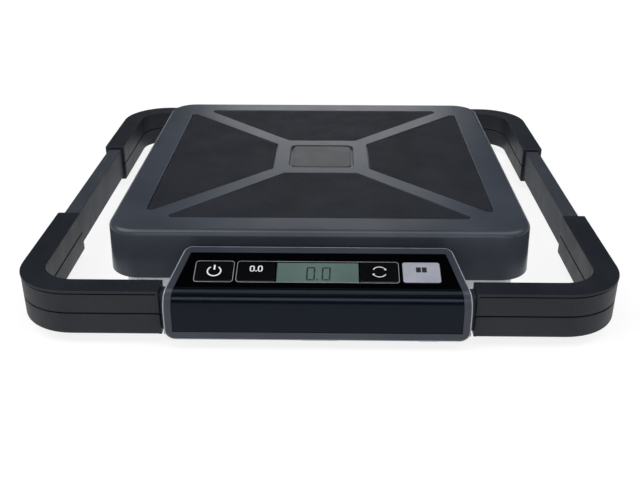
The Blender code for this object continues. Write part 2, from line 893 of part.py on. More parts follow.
def make_head_shell():
    shell = head_form("head_shell", 0.0, 0.0, 0.0, grip_bottom)
    # Seen from the front, the sides curve in under the head
    wide, top = head_front_half, tall
    outline = [(-wide, grip_bottom), (wide, grip_bottom), (wide, top), (-wide, top)]
    radii = [head_low_corner, head_low_corner, 0.0, 0.0]
    elevation = solid(
        "head_elevation",
        [rounded(outline, radii)],
        head_depth + 2 * past,
        at(0, head_back + past, 0) @ front_on,
    )
    combine(shell, elevation, "INTERSECT")
    hollow = head_form("head_hollow", head_skin, head_side_wall, head_back_wall, -past)
    cut(shell, hollow)

    # Recess for the gloss panels
    back_end = head_depth / math.cos(head_face_angle) - panel_back_rim + panel_gap
    depth = -(panel_sink + panel_thickness + touch_gap)
    low = grip_bottom + panel_low_rim - panel_gap
    recess = face_strip("panel_recess", past / 2, depth, back_end, low, head_front_half + past)
    outline = head_plan(panel_side_rim - panel_gap, -past)
    sides = solid("panel_recess_plan", [outline], tall, at(0, 0, -2 * past))
    combine(recess, sides, "INTERSECT")
    cut(shell, recess)

    # Openings in the recess floor, for the display with its two keys, and for each outer key
    hole_half = key_depth / 2 + slide_gap
    inner_half = inner_key_x + key_width / 2 + slide_gap
    holes = [(0.0, inner_half)]
    holes += [(side * outer_key_x, key_width / 2 + slide_gap) for side in (-1, 1)]
    for x, half in holes:
        cut(
            shell,
            solid(
                "face_hole",
                [rectangle(half, hole_half, middle=(x, key_middle))],
                2 * past,
                face_frame @ at(0, 0, -past),
            ),
        )
    cut(shell, tube_slots(), neck_slot(), head_grommet_hole())
    return shell


def tube_slots():
    """The slot at the foot of each side wall, where the tubes run in."""
    half = tube_width / 2 + skirt_gap
    wide = head_front_half + past
    return box(
        "tube_slots",
        (-wide, front_beam_y - half, -past),
        (wide, front_beam_y + half, tube_top + skirt_gap),
    )


def neck_slot():
    """The slot in the back wall that stands over the front bridge's neck."""
    half = bridge_neck_width / 2 + skirt_gap
    return box(
        "neck_slot",
        (-half, bay_back, -past),
        (half, head_back + past, neck_top + skirt_gap),
    )


def head_grommet_hole():
    turn = Matrix.Rotation(math.radians(90), 4, "X")
    place = at(0, head_back, head_grommet_height) @ turn
    return cylinder("head_grommet_hole", grommet_radius + touch_gap, -past, past, place, 20)


def make_panels(head):
    """Gloss panels: one over the sloping face, one round the crease and down the front."""
    outer, inner = -panel_sink, -(panel_sink + panel_thickness)
    back_end = head_depth / math.cos(head_face_angle) - panel_back_rim
    low = grip_bottom + panel_low_rim
    wide = head_front_half + past
    plan = solid("panel_plan", [head_plan(panel_side_rim, -past)], tall, at(0, 0, -2 * past))

    front = face_strip("front_panel", outer, inner, panel_split - panel_gap, low, wide)
    combine(front, plan, "INTERSECT")
    finish(front, gloss_black, head)

    middle = (panel_split + back_end) / 2
    half = (back_end - panel_split) / 2
    face = solid(
        "face_panel",
        [rectangle(wide, half, middle=(0, middle))],
        panel_thickness,
        face_frame @ at(0, 0, inner),
    )
    combine(face, plan, "INTERSECT")
    hole_half = (key_width / 2 + slide_gap, key_depth / 2 + slide_gap)
    for x in (-outer_key_x, -inner_key_x, inner_key_x, outer_key_x):
        hole = rectangle(*hole_half, key_corner + slide_gap, (x, key_middle), 3)
        cut(face, solid("key_hole", [hole], 2 * past, face_frame @ at(0, 0, -past)))
    window = rectangle(lcd_width / 2, hole_half[1], middle=(0, key_middle))
    cut(face, solid("lcd_window", [window], 2 * past, face_frame @ at(0, 0, -past)))
    finish(face, gloss_black, head)


def make_key(name, x, skin, body):
    """A cap with a stem beneath it, made in the sloping face's own directions."""
    place = face_frame @ at(x, key_middle, 0)
    cap_low = -(panel_sink + panel_thickness)
    cap = solid(
        name,
        [rectangle(key_width / 2, key_depth / 2, key_corner, steps=3)],
        key_proud - cap_low,
        place @ at(0, 0, cap_low),
    )
    bevel(cap, key_chamfer, 1, lambda co: co.z > (key_proud - cap_low) * 0.9)
    stem = solid(
        name + "_stem",
        [rectangle(key_stem / 2, key_stem / 2)],
        key_stem_length + key_stem_overlap,
        place @ at(0, 0, cap_low - key_stem_length),
    )
    combine(cap, stem, "UNION")
    finish(cap, skin, body)


def make_display(head):
    """The display glass in its window, and the circuit board under it."""
    top = -(panel_sink + lcd_sink)
    glass = solid(
        "lcd_glass",
        [rectangle(lcd_width / 2 - slide_gap, key_depth / 2, middle=(0, key_middle))],
        lcd_thickness,
        face_frame @ at(0, 0, top - lcd_thickness),
    )
    finish(glass, lcd_glass, head)
    board = solid(
        "main_board",
        [rectangle(dock_half, board_depth / 2, middle=(0, key_middle))],
        board_thickness,
        face_frame @ at(0, 0, -board_level - board_thickness),
    )
    finish(board, board_green, head)
    low = front_beam_top + touch_gap
    cover = box(
        "dock_cover",
        (-dock_half, head_front + head_skin + dock_front_gap, low),
        (dock_half, bay_back - bay_depth - touch_gap, low + dock_cover_thickness),
    )
    finish(cover, slate_dark, head)


def make_battery_box(head):
    """A box open below, three round cells end to end, a contact at each end, and a sliding door."""
    low = door_top + touch_gap
    case = box(
        "battery_box", (-bay_half, bay_back - bay_depth, low), (bay_half, bay_back, bay_top)
    )
    inside = box(
        "battery_space",
        (-bay_half + box_wall, bay_back - bay_depth + box_wall, low - past),
        (bay_half - box_wall, bay_back - box_wall, bay_top - box_wall),
    )
    finish(cut(case, inside), slate_dark, head)
    pitch = cell_length + cell_gap
    for number in range(cell_count):
        x = (number - (cell_count - 1) / 2) * pitch
        radius = cell_diameter / 2
        half = cell_length / 2
        profile = [
            (0, half),
            (radius * 0.35, half),
            (radius * 0.35, half - cell_button_height),
            (radius, half - cell_button_height),
            (radius, -half),
            (0, -half),
        ]
        place = at(x, cell_y, cell_z) @ Matrix.Rotation(math.radians(90), 4, "Y")
        finish(turned(f"battery_cell_{number + 1}", profile, 20, place), cell_wrap, head)
    inner = cell_count * pitch / 2
    for label, side in (("left", -1), ("right", 1)):
        x = sorted((side * inner, side * (inner + contact_thickness)))
        half = cell_diameter / 2 - contact_margin
        plate = box(
            f"battery_contact_{label}",
            (x[0], cell_y - half, cell_z - half),
            (x[1], cell_y + half, cell_z + half),
        )
        finish(plate, steel, head)


def make_door(body):
    door = box(
        "battery_door",
        (-bay_half, bay_back - bay_depth, door_bottom),
        (bay_half, bay_back, door_top),
    )
    half_x, half_y = door_groove_half
    for step in (-1, 0, 1):
        x = step * door_groove_pitch
        groove = box(
            "door_groove",
            (x - half_x, cell_y - half_y, door_bottom - past),
            (x + half_x, cell_y + half_y, door_bottom + door_groove_depth),
        )
        cut(door, groove)
    finish(door, slate_dark, body)


def make_grommet(name, wall_face, wall, height, side_y, body=None):
    """A bored rubber bush in a wall, lying along Y, with a flange on the outside."""
    turn = Matrix.Rotation(math.radians(-90 * side_y), 4, "X")
    lift = touch_gap + grommet_lip
    profile = [
        (grommet_flange, lift),
        (grommet_flange, touch_gap),
        (grommet_radius, touch_gap),
        (grommet_radius, -wall - grommet_tail),
        (grommet_bore, -wall - grommet_tail),
        (grommet_bore, lift),
    ]
    place = at(0, wall_face, height) @ turn
    finish(turned(name, profile, 20, place, closed=True), rubber, body)


def main():
    platform = moving_body("platform_body", at(0, centre_y, spider_low))
    head = moving_body("head_body", at(0, front_beam_y, front_beam_top))

    tray = make_tray()
    make_feet()
    make_stops()
    make_load_cell(platform, tray)
    make_cover(platform)
    make_tubes()
    make_grips()
    make_bridges(tray)
    tray_front = centre_y - tray_half[1]
    turn = Matrix.Rotation(math.radians(90), 4, "X")
    hole_place = at(0, tray_front, base_grommet_height) @ turn
    hole = cylinder("base_grommet_hole", grommet_radius + touch_gap, -past, past, hole_place, 20)
    cut(tray, hole)
    finish(tray, tray_plastic)
    make_grommet("base_cable_grommet", tray_front, tray_wall, base_grommet_height, -1)

    finish(make_head_shell(), slate, head)
    make_panels(head)
    make_display(head)
    make_battery_box(head)
    make_grommet(
        "head_cable_grommet", head_back, head_back_wall, head_grommet_height, 1, head
    )
    keys = (
        ("key_power", -outer_key_x, key_black),
        ("key_tare", -inner_key_x, key_black),
        ("key_units", inner_key_x, key_black),
        ("key_hold", outer_key_x, key_silver),
    )
    for name, x, skin in keys:
        body = moving_body(name + "_body", face_frame @ at(x, key_middle, 0))
        make_key(name, x, skin, body)
    make_door(moving_body("battery_door_body", at(0, cell_y, door_bottom)))


main()
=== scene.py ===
import json
import math

import bmesh
import bpy
from mathutils import Matrix, Vector

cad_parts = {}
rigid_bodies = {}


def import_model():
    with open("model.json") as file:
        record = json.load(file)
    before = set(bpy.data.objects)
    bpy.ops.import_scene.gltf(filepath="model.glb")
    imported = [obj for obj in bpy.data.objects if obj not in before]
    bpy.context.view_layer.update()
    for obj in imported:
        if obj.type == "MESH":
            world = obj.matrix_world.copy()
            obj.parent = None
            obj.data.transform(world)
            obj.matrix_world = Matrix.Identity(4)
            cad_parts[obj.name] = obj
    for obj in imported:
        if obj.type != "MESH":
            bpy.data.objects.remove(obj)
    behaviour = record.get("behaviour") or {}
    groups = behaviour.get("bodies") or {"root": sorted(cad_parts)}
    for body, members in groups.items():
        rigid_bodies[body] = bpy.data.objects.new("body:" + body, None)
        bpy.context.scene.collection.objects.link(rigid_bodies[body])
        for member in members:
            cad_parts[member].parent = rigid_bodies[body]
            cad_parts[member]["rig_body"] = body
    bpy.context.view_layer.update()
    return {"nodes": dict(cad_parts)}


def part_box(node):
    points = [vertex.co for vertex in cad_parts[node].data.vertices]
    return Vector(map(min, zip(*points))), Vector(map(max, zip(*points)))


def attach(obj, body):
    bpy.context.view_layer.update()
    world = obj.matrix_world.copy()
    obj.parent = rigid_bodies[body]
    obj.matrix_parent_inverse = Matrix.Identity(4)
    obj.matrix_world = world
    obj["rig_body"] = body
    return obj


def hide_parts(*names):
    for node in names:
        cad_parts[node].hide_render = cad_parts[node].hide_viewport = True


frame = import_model()
nodes = frame["nodes"]
still = Matrix.Identity(4)
print("frame loaded:", len(nodes), "nodes")


# Finishes

def hexToLinear(code):
    values = [int(code[i:i + 2], 16) / 255 for i in (1, 3, 5)]
    return [v / 12.92 if v <= 0.04045 else ((v + 0.055) / 1.055) ** 2.4 for v in values] + [1.0]


def addNode(tree, kind, settings=None, values=None, links=None):
    node = tree.nodes.new(kind)
    for key, value in (settings or {}).items():
        setattr(node, key, value)
    for socket, value in (values or {}).items():
        node.inputs[socket].default_value = value
    for socket, source in (links or {}).items():
        tree.links.new(source, node.inputs[socket])
    return node


def startFinish(name):
    made = bpy.data.materials.new(name)
    made.use_nodes = True
    tree = made.node_tree
    shader = tree.nodes["Principled BSDF"]
    place = addNode(tree, "ShaderNodeTexCoord").outputs["Object"]
    return made, tree, shader, place


def noise(size, detail=2.0):
    # A noise whose blotches are about this many metres across
    return {"Scale": 1 / size, "Detail": detail, "Roughness": 0.55}


def surface(name, look):
    # Broad tint, fine grain, rubbed patches and hair scratches, each at its own real size
    made, tree, shader, place = startFinish(name)
    broad = addNode(tree, "ShaderNodeTexNoise", None, noise(look["patch"], 3.0), {"Vector": place})
    spread = addNode(tree, "ShaderNodeMapRange", None,
                     {"From Min": 0.36, "From Max": 0.64}, {"Value": broad.outputs["Fac"]})
    tint = addNode(tree, "ShaderNodeMix", {"data_type": "RGBA"},
                   {6: hexToLinear(look["base"]), 7: hexToLinear(look["varied"])},
                   {0: spread.outputs["Result"]})
    grain = addNode(tree, "ShaderNodeTexNoise", None, noise(look["grain"], 2.0), {"Vector": place})
    speck = addNode(tree, "ShaderNodeMapRange", None,
                    {"From Min": 0.3, "From Max": 0.7, "To Min": 1 - look["speck"],
                     "To Max": 1 + look["speck"]}, {"Value": grain.outputs["Fac"]})
    flecked = addNode(tree, "ShaderNodeMix", {"data_type": "RGBA", "blend_type": "MULTIPLY"}, {0: 1.0},
                      {6: tint.outputs[2], 7: speck.outputs["Result"]})
    turned = addNode(tree, "ShaderNodeMapping", None,
                     {"Rotation": (0.0, 0.0, look["scratchTurn"]),
                      "Scale": (1 / look["scratchWidth"], 1 / look["scratchLength"], 60.0)},
                     {"Vector": place})
    hair = addNode(tree, "ShaderNodeTexNoise", None, {"Scale": 1.0, "Detail": 1.0},
                   {"Vector": turned.outputs["Vector"]})
    scratch = addNode(tree, "ShaderNodeMapRange", None,
                      {"From Min": look["scratchFrom"], "From Max": look["scratchFrom"] + 0.08,
                       "To Max": look["scratchDepth"]},
                      {"Value": hair.outputs["Fac"]})
    worn = addNode(tree, "ShaderNodeMix", {"data_type": "RGBA"}, {7: hexToLinear(look["scratched"])},
                   {0: scratch.outputs["Result"], 6: flecked.outputs[2]})
    tree.links.new(worn.outputs[2], shader.inputs["Base Color"])
    rub = addNode(tree, "ShaderNodeTexNoise", None, noise(look["patch"] * 0.4, 4.0), {"Vector": place})
    dull = addNode(tree, "ShaderNodeMapRange", None,
                   {"From Min": 0.3, "From Max": 0.7,
                    "To Min": look["roughness"] - look["roughSpread"],
                    "To Max": look["roughness"] + look["roughSpread"]},
                   {"Value": rub.outputs["Fac"]})
    tree.links.new(dull.outputs["Result"], shader.inputs["Roughness"])
    relief = addNode(tree, "ShaderNodeBump", None,
                     {"Strength": look["bump"], "Distance": look["grain"] * 0.5},
                     {"Height": grain.outputs["Fac"]})
    tree.links.new(relief.outputs["Normal"], shader.inputs["Normal"])
    shader.inputs["Metallic"].default_value = look.get("metallic", 0.0)
    if not look.get("metallic"):
        shader.inputs["IOR"].default_value = look.get("ior", 1.5)
    shader.inputs["Specular Tint"].default_value = look.get("sheen", (1.0, 1.0, 1.0, 1.0))
    shader.inputs["Coat Weight"].default_value = look.get("coat", 0.0)
    shader.inputs["Coat Roughness"].default_value = 0.1
    made.diffuse_color = hexToLinear(look["base"])
    return made


# What most finishes share; each one below says what is its own
plainLook = {
    "patch": 0.055, "grain": 0.0007, "speck": 0.06, "bump": 0.25,
    "scratchTurn": 0.6, "scratchWidth": 0.0006, "scratchLength": 0.03,
    "scratchFrom": 0.66, "scratchDepth": 0.25, "roughSpread": 0.05,
}

finishes = {}


def addFinish(key, name, **look):
    finishes[key] = surface(name, {**plainLook, **look})


# Slate ABS, moulded against a spark-eroded tool: satin, with a fine even grain and a cool tint
addFinish("slate", "moulded ABS, slate satin", base="#393e47", varied="#41464f", scratched="#596069",
          roughness=0.3, grain=0.0006, bump=0.22, ior=1.42,
          scratchFrom=0.78, scratchDepth=0.05, roughSpread=0.015,
          scratchWidth=0.0004, scratchLength=0.05)
# The head takes a darker copy of the slate ABS: painted shade that tones down the light on its faces and sets
# it off from the skirt behind
addFinish("headSlateShaded", "moulded ABS, slate satin in painted shade", base="#31353e", varied="#383c45",
          scratched="#50565f", roughness=0.34, grain=0.0006, bump=0.22, ior=1.38, scratchFrom=0.78,
          scratchDepth=0.05, roughSpread=0.015)
# A paler copy of the slate ABS for the head's bevelled edges: a painted highlight that shows as a pale line
addFinish("paintedSlateHighlight", "moulded ABS, slate painted edge highlight", base="#9297a2", varied="#a0a5af",
          scratched="#b8bcc4", roughness=0.24, grain=0.0006, bump=0.08)
# Soft-touch polypropylene: near black, matt and faintly pebbled
addFinish("grip", "soft-touch polypropylene, charcoal", base="#161a21", varied="#1b1f26",
          scratched="#363b42", roughness=0.52, grain=0.0008, bump=0.35, ior=1.36)
# A paler copy of the soft-touch finish: a painted highlight on the grips' and bridges' edges
addFinish("paintedGripHighlight", "soft-touch polypropylene, painted edge highlight", base="#666b74", varied="#747982",
          scratched="#888d95", roughness=0.34, grain=0.0008, bump=0.12)
# Nitrile rubber sheet pressed with small pyramids: dull, with a bluish bloom
addFinish("pad", "nitrile rubber, pressed diamonds", base="#1d2026", varied="#24272e",
          scratched="#2a2d34", roughness=0.55, grain=0.0005, bump=0.3, speck=0.12, ior=1.28)
# The same rubber down between the pyramids, darker: painted shade in the valleys
addFinish("padValleyShade", "nitrile rubber, valleys in painted shade", base="#050607", varied="#08090b",
          scratched="#101216", roughness=0.8, grain=0.0005, bump=0.3, ior=1.4)
# Badge plate of plain ABS: finer in grain and more neutral than the cover round it
addFinish("badge", "moulded ABS, fine matt badge", base="#3c3e41", varied="#424447", scratched="#54565a",
          roughness=0.42, grain=0.0004, bump=0.15, patch=0.03)
addFinish("tray", "moulded ABS, light grey", base="#dfe2ea", varied="#e8eaf0", scratched="#f2f3f6",
          roughness=0.5, grain=0.0008, bump=0.25)
# Powder coat on steel tube: a soft sheen over a slow orange peel, about 2 mm from crest to crest
addFinish("tube", "powder-coated steel, slate", base="#30343c", varied="#373b43", scratched="#70757e",
          roughness=0.6, grain=0.002, bump=0.1, ior=1.33)
# A paler, faintly coated copy of the powder coat: a painted highlight along the tubes' upper edges
addFinish("tubeEdge", "powder-coated steel, painted thin edge highlight", base="#5c616b", varied="#6b707a",
          scratched="#8d929b", roughness=0.3, grain=0.002, bump=0.06, coat=0.15)
addFinish("steel", "zinc-plated steel", base="#a3a6aa", varied="#8e9196", scratched="#c8cacd",
          roughness=0.34, metallic=1.0, grain=0.0009, bump=0.12)
addFinish("aluminium", "milled aluminium", base="#b6b9bd", varied="#a5a8ad", scratched="#d5d7da",
          roughness=0.32, metallic=1.0, grain=0.0005, bump=0.1, scratchWidth=0.0004,
          scratchLength=0.06, scratchFrom=0.55, scratchTurn=1.5708)
# Acrylic panel printed black behind: a deep wet gloss with the faintest wiping marks
addFinish("gloss", "acrylic, gloss black", base="#010102", varied="#020203", scratched="#08090d",
          roughness=0.06, roughSpread=0.02, ior=1.32, grain=0.004, bump=0.006, speck=0.02,
          scratchDepth=0.1)
# The upright panel is the same acrylic with a bluer base and a blue tint on its reflections: a painted blue
# cast in what it reflects
addFinish("glossFront", "acrylic, gloss blue-black", base="#03070d", varied="#040910", scratched="#0c131c",
          roughness=0.16, roughSpread=0.02, ior=1.29, sheen=(0.68, 0.78, 1.0, 1.0),
          grain=0.004, bump=0.006, speck=0.02, scratchDepth=0.1)
addFinish("blackKey", "moulded ABS, gloss black key", base="#060608", varied="#09090c",
          scratched="#1a1b20", roughness=0.16, roughSpread=0.03, grain=0.0009, bump=0.04)
# Silver lacquer with fine flake, about 0.4 mm as drawn so that it shows
addFinish("silver", "silver lacquer on ABS", base="#a2a5b2", varied="#adb0bb", scratched="#c9ccd4",
          roughness=0.4, metallic=0.25, grain=0.0004, speck=0.1, bump=0.1, patch=0.02)
addFinish("whitePrint", "screen-printed ink, white", base="#dfe2e6", varied="#eceef1",
          scratched="#c9ccd0", roughness=0.4, grain=0.0003, bump=0.1, patch=0.006)
addFinish("silverPrint", "screen-printed ink, silver", base="#8d9199", varied="#9da1a8",
          scratched="#777b82", roughness=0.35, grain=0.0003, bump=0.1, patch=0.01)
addFinish("darkPrint", "screen-printed ink, black", base="#060608", varied="#0a0a0d",
          scratched="#222329", roughness=0.6, grain=0.0003, bump=0.1, patch=0.006)
addFinish("rubber", "moulded rubber, black", base="#141518", varied="#1b1c20", scratched="#2d2f34",
          roughness=0.75, grain=0.0007, bump=0.4)
# Near black and matt, with no sheen at all: painted shade in the gaps round the pads and the badge, in the
# grooves under the grip rims and along the grip seams
addFinish("paintedGapShade", "near-black painted gap shade", base="#08080a", varied="#0c0c0f", scratched="#17171b",
          roughness=0.95, grain=0.0006, bump=0.3, ior=1.2)
addFinish("lcd", "liquid crystal glass, grey green", base="#546662", varied="#5b6f6a",
          scratched="#697e77", roughness=0.2, roughSpread=0.04, ior=1.52, grain=0.0004, speck=0.04,
          bump=0.02, patch=0.03)
addFinish("segment", "liquid crystal segment, dark", base="#1c2421", varied="#222b28",
          scratched="#323d39", roughness=0.35, grain=0.0004, bump=0.02, patch=0.01)


def boardFinish():
    # Green solder mask over copper areas about 3 by 6 mm, with raised seams between them
    made, tree, shader, place = startFinish("glass epoxy board, green mask")
    tracks = addNode(tree, "ShaderNodeTexBrick", {"offset": 0.37, "squash": 2.4},
                     {"Color1": hexToLinear("#1b5733"), "Color2": hexToLinear("#237045"),
                      "Mortar": hexToLinear("#0f3a20"), "Scale": 90.0, "Mortar Size": 0.03},
                     {"Vector": place})
    tree.links.new(tracks.outputs["Color"], shader.inputs["Base Color"])
    relief = addNode(tree, "ShaderNodeBump", None, {"Strength": 0.4, "Distance": 0.0001},
                     {"Height": tracks.outputs["Fac"]})
    tree.links.new(relief.outputs["Normal"], shader.inputs["Normal"])
    sheen = addNode(tree, "ShaderNodeTexNoise", None, noise(0.004), {"Vector": place})
    tree.links.new(sheen.outputs["Fac"], shader.inputs["Roughness"])
    return made


def cellFinish():
    # Printed sleeve on a steel can: a bright band at one end of each cell, dark over the rest
    made, tree, shader, place = startFinish("battery sleeve, two-tone")
    ends = [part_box(f"battery_cell_{number}") for number in (1, 2, 3)]
    pitch = ends[1][0].x - ends[0][0].x
    along = addNode(tree, "ShaderNodeSeparateXYZ", None, None, {"Vector": place})
    share = addNode(tree, "ShaderNodeMath", {"operation": "SUBTRACT"}, {1: ends[0][0].x},
                    {0: along.outputs["X"]})
    turns = addNode(tree, "ShaderNodeMath", {"operation": "DIVIDE"}, {1: pitch},
                    {0: share.outputs[0]})
    part = addNode(tree, "ShaderNodeMath", {"operation": "FRACT"}, None, {0: turns.outputs[0]})
    band = addNode(tree, "ShaderNodeMapRange", None, {"From Min": 0.7, "From Max": 0.71},
                   {"Value": part.outputs[0]})
    scuff = addNode(tree, "ShaderNodeTexNoise", None, noise(0.004, 4.0), {"Vector": place})
    dark = addNode(tree, "ShaderNodeMix", {"data_type": "RGBA"},
                   {6: hexToLinear("#2c2f35"), 7: hexToLinear("#3a3d44")},
                   {0: scuff.outputs["Fac"]})
    shown = addNode(tree, "ShaderNodeMix", {"data_type": "RGBA"}, {7: hexToLinear("#a9773c")},
                    {0: band.outputs["Result"], 6: dark.outputs[2]})
    tree.links.new(shown.outputs[2], shader.inputs["Base Color"])
    dull = addNode(tree, "ShaderNodeMapRange", None, {"To Min": 0.25, "To Max": 0.45},
                   {"Value": scuff.outputs["Fac"]})
    tree.links.new(dull.outputs["Result"], shader.inputs["Roughness"])
    return made


finishes["board"] = boardFinish()
finishes["cell"] = cellFinish()
print("finishes made:", len(finishes))


# Shapes

def outline(corners, radii, inset=0.0, steps=8):
    # A convex outline, anticlockwise, drawn in by inset, with each corner on its own arc
    if isinstance(radii, float):
        radii = [radii] * len(corners)
    made = []
    for index, corner in enumerate(corners):
        here = Vector(corner)
        into = (here - Vector(corners[index - 1])).normalized()
        away = (Vector(corners[(index + 1) % len(corners)]) - here).normalized()
        first, last = Vector((into.y, -into.x)), Vector((away.y, -away.x))
        radius = max(radii[index] - inset, 0.00002)
        middle = here - (first + last) * (inset + radius) / (1 + first.dot(last))
        start = math.atan2(first.y, first.x)
        sweep = (math.atan2(last.y, last.x) - start) % math.tau
        for step in range(steps + 1):
            angle = start + sweep * step / steps
            made.append((middle.x + radius * math.cos(angle), middle.y + radius * math.sin(angle)))
    return made


def rectangle(halfX, halfY, middle=(0.0, 0.0)):
    x, y = middle
    return [(x - halfX, y - halfY), (x + halfX, y - halfY), (x + halfX, y + halfY), (x - halfX, y + halfY)]


def arc(inset, height, radius, steps, first, last):
    # Points of (inset, height) round a fillet, with angles in degrees
    turns = [math.radians(first + (last - first) * step / steps) for step in range(steps + 1)]
    return [(inset + radius * math.cos(turn), height + radius * math.sin(turn)) for turn in turns]


def newForm():
    return {"points": [], "faces": [], "marks": []}


def addRings(form, rings, worn=(), wornSides=(), dark=(), shadeSides=(), capStart=True, capEnd=True,
             endMark=0):
    # Skins rings of points; highlight bands and sides take the second finish, which on the grips and tubes is
    # a paler copy that paints a highlight on the edges, and dark bands and sides take the third, which paints
    # shade in gaps and grooves
    first, size = len(form["points"]), len(rings[0])
    for ring in rings:
        form["points"] += [tuple(point) for point in ring]
    for band in range(len(rings) - 1):
        low, high = first + band * size, first + (band + 1) * size
        for side in range(size):
            after = (side + 1) % size
            form["faces"].append((low + side, low + after, high + after, high + side))
            shaded = band in dark or side in shadeSides
            form["marks"].append(2 if shaded else int(band in worn or side in wornSides))
    if capStart:
        form["faces"].append(tuple(range(first + size - 1, first - 1, -1)))
        form["marks"].append(0)
    if capEnd:
        last = first + (len(rings) - 1) * size
        form["faces"].append(tuple(range(last, last + size)))
        form["marks"].append(endMark)


def addStack(form, corners, radii, profile, place=still, steps=8, **ends):
    # Rings of one outline, each drawn in and lifted as the profile says
    rings = [[place @ Vector((x, y, height)) for x, y in outline(corners, radii, inset, steps)]
             for inset, height in profile]
    addRings(form, rings, **ends)


def addPrism(form, points, low, high, place=still):
    addRings(form, [[place @ Vector((x, y, z)) for x, y in points] for z in (low, high)])


def addTurned(form, profile, steps, place=still, worn=()):
    # A round solid: its profile of (radius, height) turned about the place's own Z
    rings = []
    for radius, height in profile:
        ring = []
        for step in range(steps):
            angle = math.tau * step / steps
            ring.append(place @ Vector((radius * math.cos(angle), radius * math.sin(angle), height)))
        rings.append(ring)
    addRings(form, rings, worn=worn)


def meshOf(name, form, fillLevels=(), place=still):
    # The form as a closed mesh; open loops that lie at a fill level are filled across
    mesh = bpy.data.meshes.new(name)
    mesh.from_pydata(form["points"], [], form["faces"])
    for polygon, mark in zip(mesh.polygons, form["marks"]):
        polygon.material_index = mark
    shape = bmesh.new()
    shape.from_mesh(mesh)
    bmesh.ops.remove_doubles(shape, verts=shape.verts, dist=0.000002)
    for level in fillLevels:
        rim = [edge for edge in shape.edges
               if edge.is_boundary and all(abs(v.co.z - level) < 0.000003 for v in edge.verts)]
        bmesh.ops.triangle_fill(shape, use_beauty=True, use_dissolve=False, edges=rim)
    bmesh.ops.recalc_face_normals(shape, faces=shape.faces)
    shape.transform(place)
    shape.to_mesh(mesh)
    shape.free()
    return mesh


def objectOf(name, mesh, keys):
    piece = bpy.data.objects.new(name, mesh)
    bpy.context.scene.collection.objects.link(piece)
    mesh.materials.clear()
    for key in keys:
        mesh.materials.append(finishes[key])
    return piece


def settle(piece):
    # Takes the modifiers' result as the piece's own mesh
    bpy.context.view_layer.update()
    graph = bpy.context.evaluated_depsgraph_get()
    old = piece.data
    piece.data = bpy.data.meshes.new_from_object(piece.evaluated_get(graph))
    piece.data.name = piece.name
    piece.modifiers.clear()
    bpy.data.meshes.remove(old)
    return piece


def soften(piece, width, segments=2, angle=40, mark=-1):
    edge = piece.modifiers.new("edge", "BEVEL")
    edge.width = width
    edge.segments = segments
    edge.limit_method = "ANGLE"
    edge.use_clamp_overlap = False
    edge.angle_limit = math.radians(angle)
    # Where a mark is given, the bevel's faces take that finish: on the head and the bridges a paler copy that
    # paints a highlight
    edge.material = mark
    return settle(piece)


def joinFlat(mesh, apart, angle):
    # Points closer than apart become one, and faces that lie flat together become one
    shape = bmesh.new()
    shape.from_mesh(mesh)
    bmesh.ops.remove_doubles(shape, verts=shape.verts, dist=apart)
    bmesh.ops.dissolve_limit(shape, angle_limit=angle, verts=shape.verts, edges=shape.edges)
    shape.to_mesh(mesh)
    shape.free()


def shade(piece, angle=35):
    piece.data.shade_smooth()
    piece.data.set_sharp_from_angle(angle=math.radians(angle))


def smooth(piece, angle=35):
    # Broad faces stay flat and only the fillets turn the light
    shade(piece, angle)
    weigh = piece.modifiers.new("weigh", "WEIGHTED_NORMAL")
    weigh.weight = 100
    weigh.keep_sharp = True
    return settle(piece)


def hand(piece, body, slot, *replaced):
    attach(piece, body)
    if replaced:
        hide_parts(*replaced)
    return piece


def makePiece(name, form, keys, body, slot, replaced=(), edge=0.0, fillLevels=(), place=still,
              segments=2, mark=-1, angle=35):
    piece = objectOf(name, meshOf(name, form, fillLevels, place), keys)
    if edge:
        soften(piece, edge, segments, mark=mark)
    smooth(piece, angle)
    return hand(piece, body, slot, *replaced)


def cleanCopy(name, node, keys, edge, slot, segments=2, mark=-1):
    # A hard CAD piece with its triangles joined up and its edges broken
    mesh = nodes[node].data.copy()
    joinFlat(mesh, 0.000002, 0.01)
    piece = objectOf(name, mesh, keys)
    for polygon in mesh.polygons:
        polygon.material_index = 0
    if edge:
        soften(piece, edge, segments, mark=mark)
    smooth(piece)
    return hand(piece, nodes[node]["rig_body"], slot, node)


def booleanPiece(piece, others, operation):
    for other in others:
        step = piece.modifiers.new("cut", "BOOLEAN")
        step.operation = operation
        step.object = other
    settle(piece)
    for other in others:
        bpy.data.objects.remove(other, do_unlink=True)
    return piece


def grow(piece, tree, values, body, slot, *replaced):
    # Runs a node tree on the piece; its inputs are set by the identifiers that its interface gives
    modifier = piece.modifiers.new("grow", "NODES")
    modifier.node_group = tree
    for item in tree.interface.items_tree:
        if item.item_type == "SOCKET" and item.in_out == "INPUT" and item.name in values:
            modifier[item.identifier] = values[item.name]
    settle(piece)
    hand(piece, body, slot, *replaced)


# Platform cover

coverLook = {
    "draft": 0.0012, "corner": 0.024, "fillet": 0.0045, "filletSteps": 10, "wall": 0.003,
    "recess": 0.002, "recessEdge": 0.0005, "lipEdge": 0.0004,
    "padMargin": 0.0244, "padInner": 0.0415, "ribInner": 0.0105,
    "ribOuter": {"front": 0.015, "rear": 0.015, "left": 0.0085, "right": 0.0085},
    "padTip": 0.0035, "padRoot": 0.0012,
    "badge": 0.053, "badgeCorner": 0.0045, "badgeGap": 0.0017,
}
coverLow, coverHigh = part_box("platform_cover")
coverMiddle = (coverLow + coverHigh) / 2
coverHalf = ((coverHigh.x - coverLow.x) / 2 - coverLook["draft"],
             (coverHigh.y - coverLow.y) / 2 - coverLook["draft"])
onPlatform = Matrix.Translation((coverMiddle.x, coverMiddle.y, 0))
padTurns = {"front": 0, "right": 1, "rear": 2, "left": 3}


